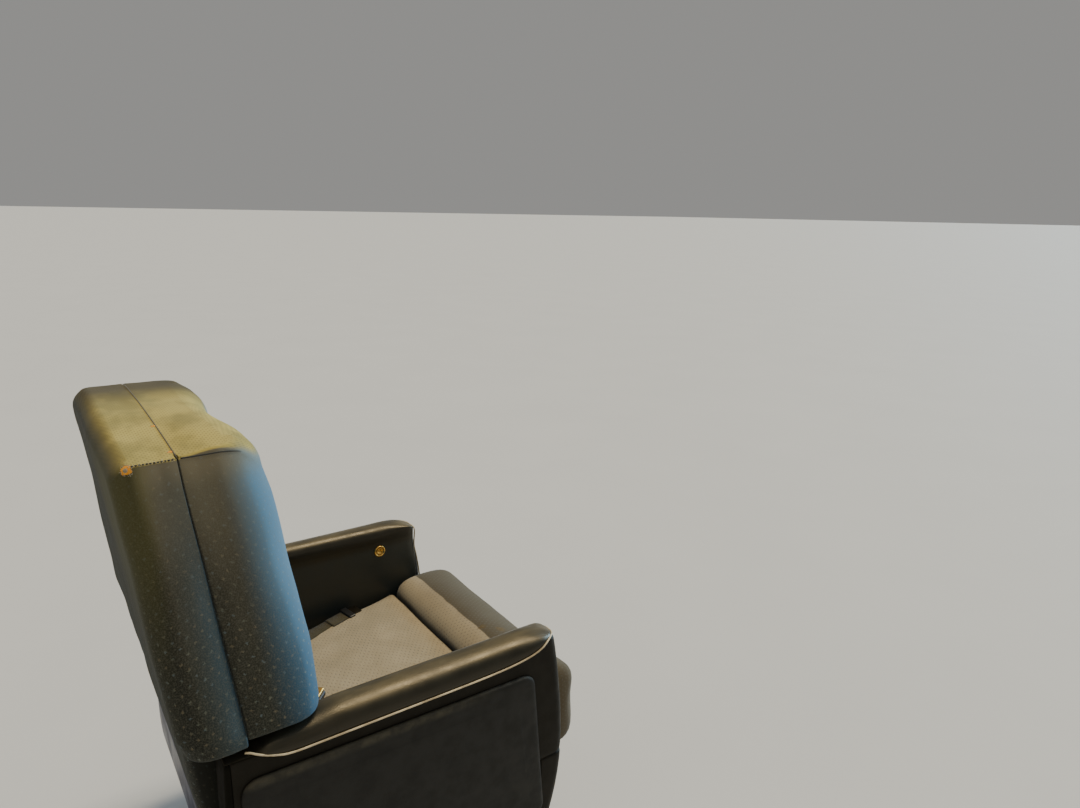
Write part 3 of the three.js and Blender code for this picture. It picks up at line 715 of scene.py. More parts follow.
def loft(name, rings, nu, nv, look, shapes=(as_it_is, as_it_is), main=0, plane=(0, 1)):
    """A solid through closed rings, both ends closed by patches of quads.

    UVs are in metres: round the ring from the middle of side `main`, and along the rings; on the caps
    they are two axes of the place.
    """
    size = 2 * (nu + nv)
    points = [p for ring in rings for p in ring]
    sides = (nu, nv, nu, nv)
    middle = sum(sides[:main]) + sides[main] // 2
    start = middle + size // 2
    heights = list(zip(*(runs_along(column) for column in zip(*rings))))
    girths = []
    for ring in rings:
        total = runs_along([ring[(start + n) % size] for n in range(size + 1)])
        girths.append([g - total[size // 2] for g in total])
    faces = []
    uvs = []
    for k in range(len(rings) - 1):
        for n in range(size):
            a = (start + n) % size
            b = (a + 1) % size
            faces.append((k * size + a, k * size + b, (k + 1) * size + b, (k + 1) * size + a))
            uvs.append([(girths[k][n], heights[k][a]), (girths[k][n + 1], heights[k][b]),
                        (girths[k + 1][n + 1], heights[k + 1][b]), (girths[k + 1][n], heights[k + 1][a])])
    for end in (0, 1):
        base = (len(rings) - 1) * size * end
        index = {}
        for (i, j), place in cap_points(rings[-end], nu, nv, shapes[end]).items():
            at = ring_index(i, j, nu, nv)
            if at is None:
                index[i, j] = len(points)
                points.append(place)
            else:
                index[i, j] = base + at % size
        for i in range(nu):
            for j in range(nv):
                quad = [index[i, j], index[i + 1, j], index[i + 1, j + 1], index[i, j + 1]]
                faces.append(quad)
                uvs.append([tuple(points[q][a] for a in plane) for q in quad])
    return make(name, points, faces, look, uvs)


def tube(name, path, radius, look, sides=8, closed=False):
    """A round cord through points; radius is a number or a function of the place along it, 0 to 1."""
    count = len(path)
    points = []
    faces = []
    normal = Vector((0.3, 0.2, 0.9))
    for k, place in enumerate(path):
        tangent = heading(path, k, closed)
        normal = (normal - tangent * normal.dot(tangent)).normalized()
        side = tangent.cross(normal)
        r = radius(k / (count - 1)) if callable(radius) else radius
        for n in range(sides):
            angle = 2 * math.pi * n / sides
            points.append(place + (normal * math.cos(angle) + side * math.sin(angle)) * r)
    for k in range(count if closed else count - 1):
        faces += band(k * sides, (k + 1) % count * sides, sides)
    uvs = band_uvs(runs_along(path + path[:1] if closed else path), [n * 0.002 for n in range(sides + 1)])
    if not closed:
        faces += end_faces(count, sides)
        uvs += [[(0, 0)] * sides] * 2
    return make(name, points, faces, look, uvs)


def smooth_path(points, gap=0.006):
    """Evenly spaced points on a Catmull-Rom curve."""
    knots = [Vector(p) for p in points]
    knots = [2 * knots[0] - knots[1]] + knots + [2 * knots[-1] - knots[-2]]
    dense = []
    fine = 16
    for a, b, c, d in zip(knots, knots[1:], knots[2:], knots[3:]):
        for s in range(fine):
            t = s / fine
            dense.append(0.5 * (2 * b + (c - a) * t + (2 * a - 5 * b + 4 * c - d) * t * t
                                + (3 * b - a - 3 * c + d) * t * t * t))
    dense.append(knots[-2])
    path = [dense[0]]
    for place in dense[1:]:
        if (place - path[-1]).length >= gap:
            path.append(place)
    if (dense[-1] - path[-1]).length > gap * 0.3:
        path.append(dense[-1])
    return path


def joined(name, pieces):
    """One object from several that share a look."""
    work = bmesh.new()
    for piece in pieces:
        work.from_mesh(piece.data)
    mesh = bpy.data.meshes.new(name)
    work.to_mesh(mesh)
    work.free()
    mesh.materials.append(pieces[0].data.materials[0])
    for piece in pieces:
        old = piece.data
        bpy.data.objects.remove(piece)
        bpy.data.meshes.remove(old)
    whole = bpy.data.objects.new(name, mesh)
    scene.collection.objects.link(whole)
    return whole


def stitches(name, path, look, length, gap, radius, stray=0.0):
    """A row of thread stitches along a path; stray is how far they may lie off it."""
    made = []
    total = runs_along(path)

    def place(run):
        for k in range(len(path) - 1):
            if run <= total[k + 1]:
                return path[k].lerp(path[k + 1], (run - total[k]) / (total[k + 1] - total[k]))
        return path[-1]

    def swell(t):
        return radius * (0.55 + 0.45 * math.sin(math.pi * t))

    run = gap
    while run + length < total[-1]:
        a = place(run)
        b = place(run + length)
        off = Vector((random.uniform(-1, 1), random.uniform(-1, 1), random.uniform(0, 1))) * stray
        row = [a.lerp(b, t) + off * math.sin(math.pi * t) for t in (0, 0.15, 0.5, 0.85, 1)]
        made.append(tube("stitch", row, swell, look, 6))
        run += length + gap
    return joined(name, made)


def bolster(name, section, middle, ends, reach, count, sides, look):
    """A roll across the seat: one side outline, drawn in towards its middle at both ends.

    ends: x and drawing in at the right end; reach: how far the full outline goes to either side.
    """
    places = ends + [(-reach + 2 * reach * k / (count - 1), 0.0) for k in range(count)]
    places += [(-x, inset) for x, inset in reversed(ends)]
    rings = []
    for x, inset in places:
        ring = []
        for y, z in section:
            away = Vector((0, y, z)) - middle
            place = middle + away * (1 - inset / away.length)
            ring.append(Vector((x, place.y, place.z)))
        rings.append(ring)
    return loft(name, rings, *sides, look, main=1, plane=(1, 2))


# Padding by cloth simulation: the pieces swell together, held at their seams

PUFFED = []
PUFF_FRAMES = 20
CLOTH = {"use_pressure": True, "vertex_group_mass": "held", "quality": 4, "mass": 0.25,
         "tension_stiffness": 12, "compression_stiffness": 12, "shear_stiffness": 4, "bending_stiffness": 0.4}


def puff(piece, pressure, limit, held):
    """Has run_cloth swell a piece, by no more than a limit; held(place) is how firmly a point stays."""
    PUFFED.append((piece, pressure, limit, held))


def run_cloth():
    rests = []
    for piece, pressure, limit, held in PUFFED:
        rests.append([v.co.copy() for v in piece.data.vertices])
        group = piece.vertex_groups.new(name="held")
        for vertex in piece.data.vertices:
            weight = held(vertex.co)
            if weight > 0:
                group.add([vertex.index], weight, "REPLACE")
        cloth = piece.modifiers.new("cloth", "CLOTH")
        cloth.settings.uniform_pressure_force = pressure
        cloth.settings.effector_weights.gravity = 0
        for setting, value in CLOTH.items():
            setattr(cloth.settings, setting, value)
        cloth.collision_settings.use_collision = False
        cloth.collision_settings.use_self_collision = False
        cloth.point_cache.frame_start = 1
        cloth.point_cache.frame_end = PUFF_FRAMES
    for number in range(1, PUFF_FRAMES + 1):
        scene.frame_set(number)
    view = bpy.context.evaluated_depsgraph_get()
    for (piece, pressure, limit, held), rest in zip(PUFFED, rests):
        swollen = [v.co.copy() for v in piece.evaluated_get(view).data.vertices]
        piece.modifiers.clear()
        piece.vertex_groups.clear()
        for vertex, before, after in zip(piece.data.vertices, rest, swollen):
            move = after - before
            size = move.length
            if size > 0:
                move *= limit * math.tanh(size / limit) / size
            vertex.co = before + move
        piece.data.update()
    scene.frame_set(1)


# The back: a rear shell and a front cushion, meeting at a seam that runs over the top.
# Rows are height, half width, and y of the rear, of the seam and of the front

WIDE = [
    (0.620, 0.3745, 0.3900, 0.2975, 0.1800),
    (0.640, 0.374, 0.399, 0.299, 0.177),
    (0.741, 0.352, 0.409, 0.310, 0.176),
    (0.824, 0.336, 0.417, 0.319, 0.184),
    (0.916, 0.318, 0.425, 0.328, 0.196),
    (0.994, 0.303, 0.434, 0.337, 0.208),
    (1.041, 0.294, 0.440, 0.342, 0.219),
    (1.096, 0.283, 0.443, 0.346, 0.2225),
]
NARROW_HALF = 0.285
SHELL_HEM = 0.604
CUSHION_HEM = 0.6165
SHELL_FOOT = 0.365
CUSHION_FOOT = 0.388
HEM_ROUND = 0.015
SEAM_GAP = 0.0004
SEAM_TUCK = 0.0018
SEAM_TURN = 0.0035
SHELL_CORNER = 0.042
CUSHION_CORNER = 0.067
LOW_CORNER = 0.044
CUSHION_FULLER = 0.006
EDGE_ROUND = 0.006
NEAR_EDGE = 1.0865
NEAR_RISE = 0.0100
NEAR_FALL = 0.004
RISE_RUN = 0.075
FRONT_ROUND = 0.060
SEAM_ROUND = 0.0022
REAR_ROUND = 0.030
FAR_EDGE = 1.0935
TOP_CROWN = 0.0055
TOP_HALF = 0.29
TOP_SEAM = 0.346
RIM = {"level": 1.052, "rear": 0.4425, "front": 0.2165, "half": 0.288}
SEAM_REACH = 0.281
# How far the cloth is drawn in beside the seam: reach and depth
SHELL_DIP = (0.042, 0.0050)
CUSHION_DIP = (0.022, 0.0022)
HOLLOW = 0.012
BOLSTER = 0.003
BACK_NU = 60
BACK_NV = 18


def column(index):
    return [(row[0], row[index]) for row in WIDE]


# Half width, and y of the rear, the seam and the front, at heights from the foot to the top
HALF = column(1)
REAR = [(0.365, 0.342), (0.390, 0.356), (0.420, 0.364), (0.463, 0.370), (0.561, 0.380), (0.604, 0.387)]
REAR += column(2)
SEAM = [(0.365, 0.288), (0.500, 0.290), (0.604, 0.2966)] + column(3)
FRONT = [(0.388, 0.204), (0.500, 0.190), (0.600, 0.188)] + column(4)
FRONT = [(z, y - CUSHION_FULLER) for z, y in FRONT]


def back_plan(z, inset, half, shell):
    """The shell's or the cushion's outline at a height; inset draws its outer edges in."""
    seam = along(SEAM, z)
    reach = half - inset
    tight = 1 - 0.5 * step(z, 0.78, 1.02)
    tucked = reach - SEAM_TUCK * tight
    if shell:
        rear = along(REAR, z) - inset
        corner = min(SHELL_CORNER, (rear - seam) * 0.5)
        seam += SEAM_GAP
        corners = [(reach, rear), (-reach, rear), (-tucked, seam), (tucked, seam)]
    else:
        front = along(FRONT, z) + inset
        corner = LOW_CORNER + (CUSHION_CORNER - LOW_CORNER) * step(z, 0.64, 0.90)
        seam -= SEAM_GAP
        corners = [(-reach, front), (reach, front), (tucked, seam), (-tucked, seam)]
    turned = SEAM_TURN * tight
    return outline(corners, (corner, corner, turned, turned), (BACK_NU, BACK_NV))


PLANS = {}


def wide_point(number, z, shell):
    """A point of the outline at its own height, from outlines kept for each millimetre."""
    low = math.floor(z * 1000)
    for key in (low, low + 1):
        if (key, shell) not in PLANS:
            z_key = key / 1000
            PLANS[key, shell] = back_plan(z_key, 0.0, along(HALF, z_key), shell)
    return PLANS[low, shell][number].lerp(PLANS[low + 1, shell][number], z * 1000 - low)


def top_height(x, y):
    """Height of the top: lower at the near edge, with a slight crown."""
    rise = math.sin(math.pi / 2 * min(1.0, max(0.0, (TOP_SEAM - y) / RISE_RUN)))
    near = NEAR_EDGE + NEAR_RISE * rise - NEAR_FALL * step(y, 0.405, 0.440)
    edge = near + (FAR_EDGE - near) * step(x, -TOP_HALF, 0.10)
    return edge + TOP_CROWN * (1 - min(1.0, abs(x) / TOP_HALF) ** 3)


def foot_levels(foot, hem):
    """Height, drawing in and half width of the narrow part, from its rounded foot to the hem."""
    levels = []
    for t in (0.0, 0.2, 0.45, 0.75):
        levels.append((foot + 0.012 * t, 0.012 * (1 - math.sqrt(1 - (1 - t) ** 2)), NARROW_HALF))
    steps = 18
    for k in range(steps):
        levels.append((foot + 0.014 + (hem - foot - 0.016) * k / (steps - 1), 0.0, NARROW_HALF))
    return levels


def hem_levels(hem):
    """The same for the hem: out to the wide part, and round its lower edge."""
    wide = along(HALF, hem + HEM_ROUND)
    levels = []
    for t in (0.15, 0.4, 0.65, 0.85):
        levels.append((hem, 0.0, NARROW_HALF + (wide - HEM_ROUND - NARROW_HALF) * t))
    for t in (0.05, 0.3, 0.6, 0.85):
        angle = t * math.pi / 2
        half = wide - HEM_ROUND * (1 - math.sin(angle))
        levels.append((hem + HEM_ROUND * (1 - math.cos(angle)), 0.0, half))
    return levels


def wide_rings(low, size, shell):
    """The wide part, up to where the round of its top edge begins."""
    tops = []
    for n in range(size):
        p = wide_point(n, RIM["level"], shell)
        tops.append(top_height(p.x, p.y) - edge_round(n, shell) - low)
    steps = 46
    rings = []
    for k in range(steps):
        ring = []
        for n in range(size):
            z = low + tops[n] * (k / (steps - 1))
            p = wide_point(n, z, shell)
            ring.append(Vector((p.x, p.y, z)))
        rings.append(ring)
    return rings


def rounded_rim(last, shell):
    """Rings that turn the top's edge from upright to level."""
    size = len(last)
    rings = []
    for k in range(1, 10):
        turn = k / 9 * math.pi / 2
        ring = []
        for n in range(size):
            radius = edge_round(n, shell)
            run = last[(n + 1) % size] - last[n - 1]
            inward = Vector((-run.y, run.x, 0)).normalized()
            place = last[n] + inward * radius * (1 - math.cos(turn))
            place.z = top_height(place.x, place.y) - radius * (1 - math.sin(turn))
            ring.append(place)
        rings.append(ring)
    return rings


def back_rings(shell):
    hem = SHELL_HEM if shell else CUSHION_HEM
    foot = SHELL_FOOT if shell else CUSHION_FOOT
    levels = foot_levels(foot, hem) + hem_levels(hem)
    rings = [level(back_plan(z, inset, half, shell), z) for z, inset, half in levels]
    rings += wide_rings(hem + HEM_ROUND, len(rings[0]), shell)
    return rings + rounded_rim(rings[-1], shell)


def edge_round(number, shell):
    """Radius of the top's edge: large at the front and rear, small over the sides, least at the seam."""
    p = wide_point(number, RIM["level"], shell)
    corner, large = (SHELL_CORNER, REAR_ROUND) if shell else (CUSHION_CORNER, FRONT_ROUND)
    ahead = (p.y - RIM["rear"] if shell else RIM["front"] - p.y) + corner
    side = abs(p.x) - RIM["half"] + corner
    if ahead > 0:
        turn = math.degrees(math.atan2(max(0.0, side), ahead))
        return large + (EDGE_ROUND - large) * step(turn, 20, 88)
    return SEAM_ROUND + (EDGE_ROUND - SEAM_ROUND) * step(abs(p.x), 0.262, 0.280)


def head_shape(shell):
    """Bolsters at both sides of the head with a hollow between them, and uneven stuffing."""
    def shape(place, normal):
        seam = along(SEAM, place.z)
        front = along(FRONT, place.z)
        free = step(abs(place.y - seam), 0.004, 0.03)
        move = normal * free * (noise.noise(place * 7.0) * 0.0022 + noise.noise(place * 17.0) * 0.0009)
        reach, depth = SHELL_DIP if shell else CUSHION_DIP
        depth *= 1 - 0.8 * step(place.z, 0.72, 1.04)
        near = max(0.0, 1 - abs(place.y - seam) / reach)
        if abs(normal.x) > 0.5 and place.z > 0.63:
            move.x -= math.copysign(depth * near * near, place.x)
        if not shell:
            forward = step((seam - place.y) / (seam - front), 0.25, 1.0)
            high = step(place.z, 0.70, 1.02)
            hollow = 1 - step(abs(place.x), 0.02, 0.18)
            move.y += forward * (HOLLOW * high * hollow - BOLSTER * high * (1 - hollow))
            move.y -= forward * step(-place.z, -0.80, -0.66) * BOLSTER
        return move
    return shape


def make_back(shell):
    def top(place, s, t):
        place.z = top_height(place.x, place.y)
        return place

    name = "back_shell_cover" if shell else "back_cushion_cover"
    cloth = SHELL_CLOTH if shell else BACK_CLOTH
    return loft(name, back_rings(shell), BACK_NU, BACK_NV, cloth, (as_it_is, top))


def back_held(place):
    """Held at the seam, at the hems and over the narrow part."""
    seam = along(SEAM, place.z)
    near_seam = 1.0 if abs(place.y - seam) < 0.005 else 0.0
    low = 1.0 if place.z < 0.60 else 0.0
    hem = 1.0 if place.z < 0.624 and abs(place.x) < 0.35 else 0.0
    side = abs(abs(place.x) - along(HALF, 1.09)) < 0.008
    edge = 0.95 if side and place.z > NEAR_EDGE - 0.012 and abs(place.y - seam) < 0.09 else 0.0
    return max(near_seam, low, hem, edge)


back_shell = make_back(True)
back_cushion = make_back(False)
puff(back_shell, 2.2, 0.007, back_held)
puff(back_cushion, 2.6, 0.009, back_held)
set_up(back_shell, "back", "back_fabric", "back_shell", fill=0.85)
set_up(back_cushion, "back", "back_fabric", "back_cushion", fill=0.8)


# Seat cushion and the front roll

CUSHION_HALF = 0.297
CUSHION_FRONT_EDGE = -0.2537
CUSHION_REAR_EDGE = 0.243
CUSHION_FLOOR = 0.2995
CUSHION_SLOPE = 0.15
CUSHION_EDGE = 0.022
CUSHION_COUNTS = (40, 34)


def cushion_top(y):
    return 0.428 - (y + 0.254) * CUSHION_SLOPE


def make_seat_cushion():
    """Rows are (share, drawing in): shares up to 1 climb the sides, from 1 to 2 turn over the edge."""
    rings = []
    rows = [(0.0, 0.006), (0.2, 0.001), (0.5, 0.0), (0.8, 0.0)]
    rows += [(1.0, 0.0), (1.3, 0.0015), (1.6, 0.006), (1.85, 0.013), (2.0, 0.022)]
    for t, inset in rows:
        half = CUSHION_HALF - inset
        corners = rectangle(-half, CUSHION_FRONT_EDGE + inset * 0.5, half, CUSHION_REAR_EDGE - inset)
        ring = []
        for p in outline(corners, (0.012, 0.012, 0.03, 0.03), CUSHION_COUNTS):
            top = cushion_top(p.y)
            edge = CUSHION_EDGE - 0.012 * step(p.y, -0.20, -0.25)
            if t <= 1:
                z = CUSHION_FLOOR + (top - edge - CUSHION_FLOOR) * t
            else:
                z = top - edge * (1 - math.sin((t - 1) * math.pi / 2))
            ring.append(Vector((p.x, p.y, z)))
        rings.append(ring)
    return loft("seat_cushion_cover", rings, *CUSHION_COUNTS, SEAT_CLOTH, (as_it_is, crowned(2, 0.006)))


def cushion_held(place):
    below = 1.0 if place.z < 0.335 else 0.0
    front = 1.0 if place.y < CUSHION_FRONT_EDGE + 0.006 else 0.0
    return max(below, front)


# The front cushion's side outline, as y and z
ROLL_OUTLINE = [
    (-0.2555, 0.400), (-0.2575, 0.432), (-0.268, 0.452), (-0.288, 0.4635), (-0.318, 0.4695), (-0.350, 0.4715),
    (-0.385, 0.4700), (-0.412, 0.4620), (-0.431, 0.447), (-0.4405, 0.422), (-0.4415, 0.380), (-0.4415, 0.335),
    (-0.4405, 0.292), (-0.428, 0.2635), (-0.402, 0.2555), (-0.372, 0.255), (-0.345, 0.256), (-0.3425, 0.275),
    (-0.330, 0.292), (-0.300, 0.300), (-0.2665, 0.302), (-0.2560, 0.318), (-0.2555, 0.345), (-0.2555, 0.375),
]


def make_front_cushion():
    ends = [(-0.2968, 0.030), (-0.2955, 0.018), (-0.291, 0.008), (-0.283, 0.002)]
    middle = Vector((0, -0.35, 0.365))
    return bolster("front_cushion_cover", ROLL_OUTLINE, middle, ends, 0.272, 44, (7, 5), ROLL_CLOTH)


def roll_held(place):
    rear = 1.0 if place.y > -0.2585 else 0.0
    under = 1.0 if place.z < 0.306 and place.y > -0.40 else 0.0
    return max(rear, under)


seat_cushion = make_seat_cushion()
front_cushion = make_front_cushion()
puff(seat_cushion, 3.0, 0.012, cushion_held)
puff(front_cushion, 2.5, 0.007, roll_held)
set_up(seat_cushion, "seat", "cushion_fabric", "seat_cushion", fill=0.8)
set_up(front_cushion, "seat", "cushion_fabric", "front_cushion", fill=0.85)


# Rear fabric roll under the back

def make_rear_roll():
    section = outline(rectangle(0.3003, 0.2867, 0.3410, 0.3490), (0.008, 0.016, 0.022, 0.016), (10, 12))
    ends = [(-0.2538, 0.012), (-0.2515, 0.005), (-0.246, 0.001)]
    middle = Vector((0, 0.320, 0.318))
    section = [(p.x, p.y) for p in section]
    return bolster("rear_roll_cover", section, middle, ends, 0.236, 30, (10, 12), SHELL_CLOTH)


rear_roll = make_rear_roll()
puff(rear_roll, 2.0, 0.004, lambda place: 1.0 if place.z < 0.291 else 0.0)
set_up(rear_roll, "seat", "back_fabric", "rear_roll", fill=0.9)

run_cloth()

for piece in (back_shell, back_cushion, seat_cushion, front_cushion, rear_roll):
    subdivided(piece)
relief(back_shell, head_shape(True))
relief(back_cushion, head_shape(False))


# Details of the back: the stitched edge, the dart, and holes worn through to the foam

def touch(piece, start, towards):
    """Where a ray meets a piece, and the surface's normal there."""
    hit, place, normal, _ = piece.ray_cast(Vector(start), Vector(towards).normalized())
    return (place, normal) if hit else (None, None)


def edge_path(piece, side, first, last):
    """Points along the edge between the top and a side, from one y to another."""
    path = []
    steps = 24
    for k in range(steps + 1):
        y = first + (last - first) * k / steps
        place, normal = touch(piece, (side * 0.335, y, 1.137), (-side, 0, -1))
        if place:
            path.append(place + normal * 0.0002)
    return path


def frays(name, places, look, count, length=0.0032):
    """Short broken fibres that stand out round places on a surface."""
    made = []
    for k in range(count):
        place, normal = places[k * len(places) // count]
        lean = Vector([random.uniform(-1, 1) for _ in range(3)])
        lean = (lean - normal * lean.dot(normal)).normalized()
        tip = place + lean * length * random.uniform(0.5, 1.1) + normal * random.uniform(0.0002, 0.0012)
        bend = place.lerp(tip, 0.5) + normal * 0.0004
        made.append(tube("fibre", [place, bend, tip], 0.00022, look, 4))
    return joined(name, made)


def worn_hole(name, piece, centre, towards, radius, look, rise):
    """A ragged low dome that shows through the cloth; returns it and the places round its rim."""
    middle, axis = touch(piece, Vector(centre) - Vector(towards).normalized() * 0.05, towards)
    across = axis.cross(Vector((0.3, 0.2, 0.9))).normalized()
    along_rim = axis.cross(across)
    turns = 28
    shares = (0.0, 0.25, 0.5, 0.72, 0.88, 1.0)
    points = []
    rim = []
    for upper in (True, False):
        for share in shares:
            for n in range(turns):
                angle = 2 * math.pi * n / turns
                waver = Vector((math.cos(angle) * 1.7, math.sin(angle) * 1.7, radius * 900))
                out = (across * math.cos(angle) + along_rim * math.sin(angle)) * radius * share
                out *= 1 + 0.28 * noise.noise(waver)
                place, normal = touch(piece, middle + out + axis * 0.02, -axis)
                if not place:
                    place, normal = middle + out, axis
                lift = rise * (1 - share ** 4) - 0.0002 if upper else -0.0012
                points.append(place + normal * lift)
                if upper and share == 1.0:
                    rim.append((place, normal))
    faces = []
    size = len(shares) * turns
    for start in (0, size):
        for k in range(len(shares) - 1):
            faces += band(start + k * turns, start + (k + 1) * turns, turns)
    faces += band(size - turns, 2 * size - turns, turns)
    hole = make(name, points, faces, look)
    faced_out(hole.data, 0.00001)
    return hole, rim


# The dart and the stitches run from one y to another; a hole is its place, the way in, and its radius
DART = (0.3445, 0.250)
STITCHED = (0.410, 0.3485)
FIBRES = 3.2e5
HOLES = {"corner": ((-0.285, 0.417, 1.083), (1.0, -0.35, -1.0), 0.0080),
         "seam_outer": ((-0.252, 0.3490, 1.088), (0, 0, -1), 0.0044),
         "seam_inner": ((-0.106, 0.3490, 1.090), (0, 0, -1), 0.0044)}


def seam_path():
    """The seam between shell and cushion across the top of the back."""
    y = along(SEAM, 1.09)
    path = []
    steps = 60
    for k in range(steps + 1):
        x = -SEAM_REACH + 2 * SEAM_REACH * k / steps
        heights = [touch(piece, (x, y + shift, 1.2), (0, 0, -1))[0].z
                   for piece, shift in ((back_shell, 0.0025), (back_cushion, -0.0025))]
        path.append(Vector((x, y, max(heights) - 0.0002)))
    return path


def tapered(t):
    """Radius of the dart's seam, which thins out towards its end."""
    return 0.0013 * min(1.0, 4 * (1 - t) + 0.2)


def edge_details(word, side):
    """The dart in the cushion and the frayed row of stitches in the shell, at one edge of the top."""
    dart = tube("dart_seam_" + word, edge_path(back_cushion, side, *DART), tapered, DARK_THREAD, 6)
    set_up(dart, "back", "back_fabric")
    path = edge_path(back_shell, side, *STITCHED)
    row = stitches("edge_stitches_" + word, path, DARK_THREAD, 0.0034, 0.0016, 0.0014)
    set_up(row, "back", "back_fabric")
    places = []
    for place in path:
        hit, normal = touch(back_shell, place + Vector((side * 0.03, 0, 0.03)), (-side, 0, -1))
        places.append((hit or place, normal or Vector((0, 0, 1))))
    set_up(frays("edge_fibres_" + word, places, PALE_THREAD, 70), "back", "back_fabric")


def worn_places():
    for word, (centre, towards, radius) in HOLES.items():
        hole, rim = worn_hole("worn_hole_" + word, back_shell, centre, towards, radius, FOAM, 0.0011)
        set_up(hole, "back", "back_fabric")
        count = int(FIBRES * radius ** 2) + 4
        set_up(frays("hole_fibres_" + word, rim, PALE_THREAD, count, radius * 0.5), "back", "back_fabric")
    scrap, rim = worn_hole("hole_scrap", back_shell, *HOLES["corner"][:2], 0.0042, SCRAP, 0.0019)
    set_up(scrap, "back", "back_fabric")


def uneven(place, normal):
    """How the cushions' stuffing has settled."""
    return noise.noise(place * 9.0) * 0.002 + noise.noise(place * 22.0) * 0.0007


seam = tube("back_top_seam", seam_path(), 0.0011, SEAM_THREAD, 6)
set_up(seam, "back", "back_fabric")
edge_details("right", -1)
edge_details("left", 1)
worn_places()
for piece in (seat_cushion, front_cushion):
    relief(piece, uneven)


# Arms. Each is made for the occupant's right, at -X, and mirrored for the left

ARM_IN = 0.305
ARM_OUT = 0.372
SKIN = 0.004
ARM_BOTTOM = 0.165
PAD_SEAM = 0.577
ARM_REAR = 0.320
FOOT_TOP = 0.318
FOOT_REAR = -0.288
ROLL_LAP = 0.009
JOIN = 0.0005
BOW = {"height": 0.350, "front": -0.352, "above": 0.990, "below": 0.585}


def arm_front(z):
    away = z - BOW["height"]
    radius = BOW["above"] if away > 0 else BOW["below"]
    return BOW["front"] + radius - math.sqrt(radius * radius - away * away)


# Height of the arm's outer seam along it: it climbs as it nears the front end
SEAM_LINE = [(-0.3315, 0.5970), (-0.326, 0.6005), (-0.320, 0.6025), (-0.311, 0.6035), (-0.298, 0.6010),
             (-0.282, 0.5945), (-0.264, 0.5890), (-0.240, 0.5840), (-0.205, 0.5795), (-0.150, 0.5775),
             (-0.100, 0.577), (0.222, 0.577), (0.245, 0.5797), (0.269, 0.5865), (0.287, 0.5925),
             (0.338, 0.5930)]


def seam_height(y):
    return along(SEAM_LINE, y)


def mirrored(points, side):
    return [Vector((p.x * side, p.y, p.z)) for p in points]


def arm_side_ring(z, front, side, inset=0.0):
    rear = ARM_REAR + ROLL_LAP * step(z, 0.288, 0.296)
    corners = rectangle(-ARM_OUT + inset, front + inset, -ARM_IN - SKIN - JOIN, rear)
    ring = []
    for p in outline(corners, (0.024, 0.016, 0.004, 0.002), (10, 56)):
        lift = (seam_height(p.y) - PAD_SEAM) * step(z, 0.44, 0.575)
        ring.append(Vector((p.x, p.y, z + lift)))
    return mirrored(ring, side)


def make_arm_side(name, side):
    """The arm's outer skin: behind the foot cover, out over its step, and up to the pad's seam."""
    rings = []
    for k in range(7):
        z = ARM_BOTTOM + (FOOT_TOP - 0.004 - ARM_BOTTOM) * k / 6
        rings.append(arm_side_ring(z, FOOT_REAR + 0.0004, side))
    z = FOOT_TOP + 0.0006
    for t in (0.1, 0.35, 0.65, 0.9):
        rings.append(arm_side_ring(z, FOOT_REAR + (arm_front(z) + 0.002 - FOOT_REAR) * t, side))
    rows = [(FOOT_TOP + 0.001, 0.0015), (FOOT_TOP + 0.003, 0.0003)]
    rows += [(FOOT_TOP + 0.006 + (PAD_SEAM - 0.008 - FOOT_TOP) * k / 18, 0.0) for k in range(1, 18)]
    rows += [(PAD_SEAM - 0.0035, 0.0), (PAD_SEAM - 0.0015, 0.001), (PAD_SEAM - 0.0006, 0.004)]
    for z, inset in rows:
        rings.append(arm_side_ring(z, arm_front(z), side, inset))
    return loft(name, rings, 10, 56, SIDE_LEATHER, main=3)


def make_arm_foot(name, side):
    rings = []
    rows = [(ARM_BOTTOM, 0.004), (ARM_BOTTOM + 0.003, 0.001)]
    rows += [(ARM_BOTTOM + 0.008 + (FOOT_TOP - 0.016 - ARM_BOTTOM) * k / 8, 0.0) for k in range(9)]
    rows += [(FOOT_TOP - 0.004, 0.0005), (FOOT_TOP - 0.0015, 0.002), (FOOT_TOP - 0.0006, 0.005)]
    for z, inset in rows:
        corners = rectangle(-ARM_OUT + inset, arm_front(z) + inset, -ARM_IN - inset, FOOT_REAR - JOIN)
        plan = outline(corners, (0.022, 0.012, 0.003, 0.003), (12, 10))
        rings.append(mirrored(level(plan, z), side))
    return loft(name, rings, 12, 10, SIDE_LEATHER, main=3)


# Along the arm by y: the pad's outer edge, its crown, and how far its inner edge is drawn in at the front
PAD_EDGE = [(-0.3315, 0.320), (-0.3295, 0.336), (-0.326, 0.346), (-0.320, 0.355), (-0.311, 0.364),
            (-0.298, 0.3725), (-0.282, 0.378), (-0.264, 0.380), (0.276, 0.380), (0.290, 0.373),
            (0.338, 0.372)]
PAD_CROWN = [(-0.3315, 0.5985), (-0.3285, 0.6008), (-0.323, 0.6038), (-0.314, 0.6078), (-0.300, 0.6128),
             (-0.280, 0.6172), (-0.255, 0.6200), (0.150, 0.620), (0.169, 0.6163), (0.184, 0.6146),
             (0.196, 0.6138), (0.262, 0.612), (0.276, 0.607), (0.290, 0.598), (0.338, 0.597)]
PAD_INNER = [(-0.3315, 0.0150), (-0.3295, 0.0095), (-0.326, 0.0050), (-0.320, 0.0015), (-0.312, 0.0)]
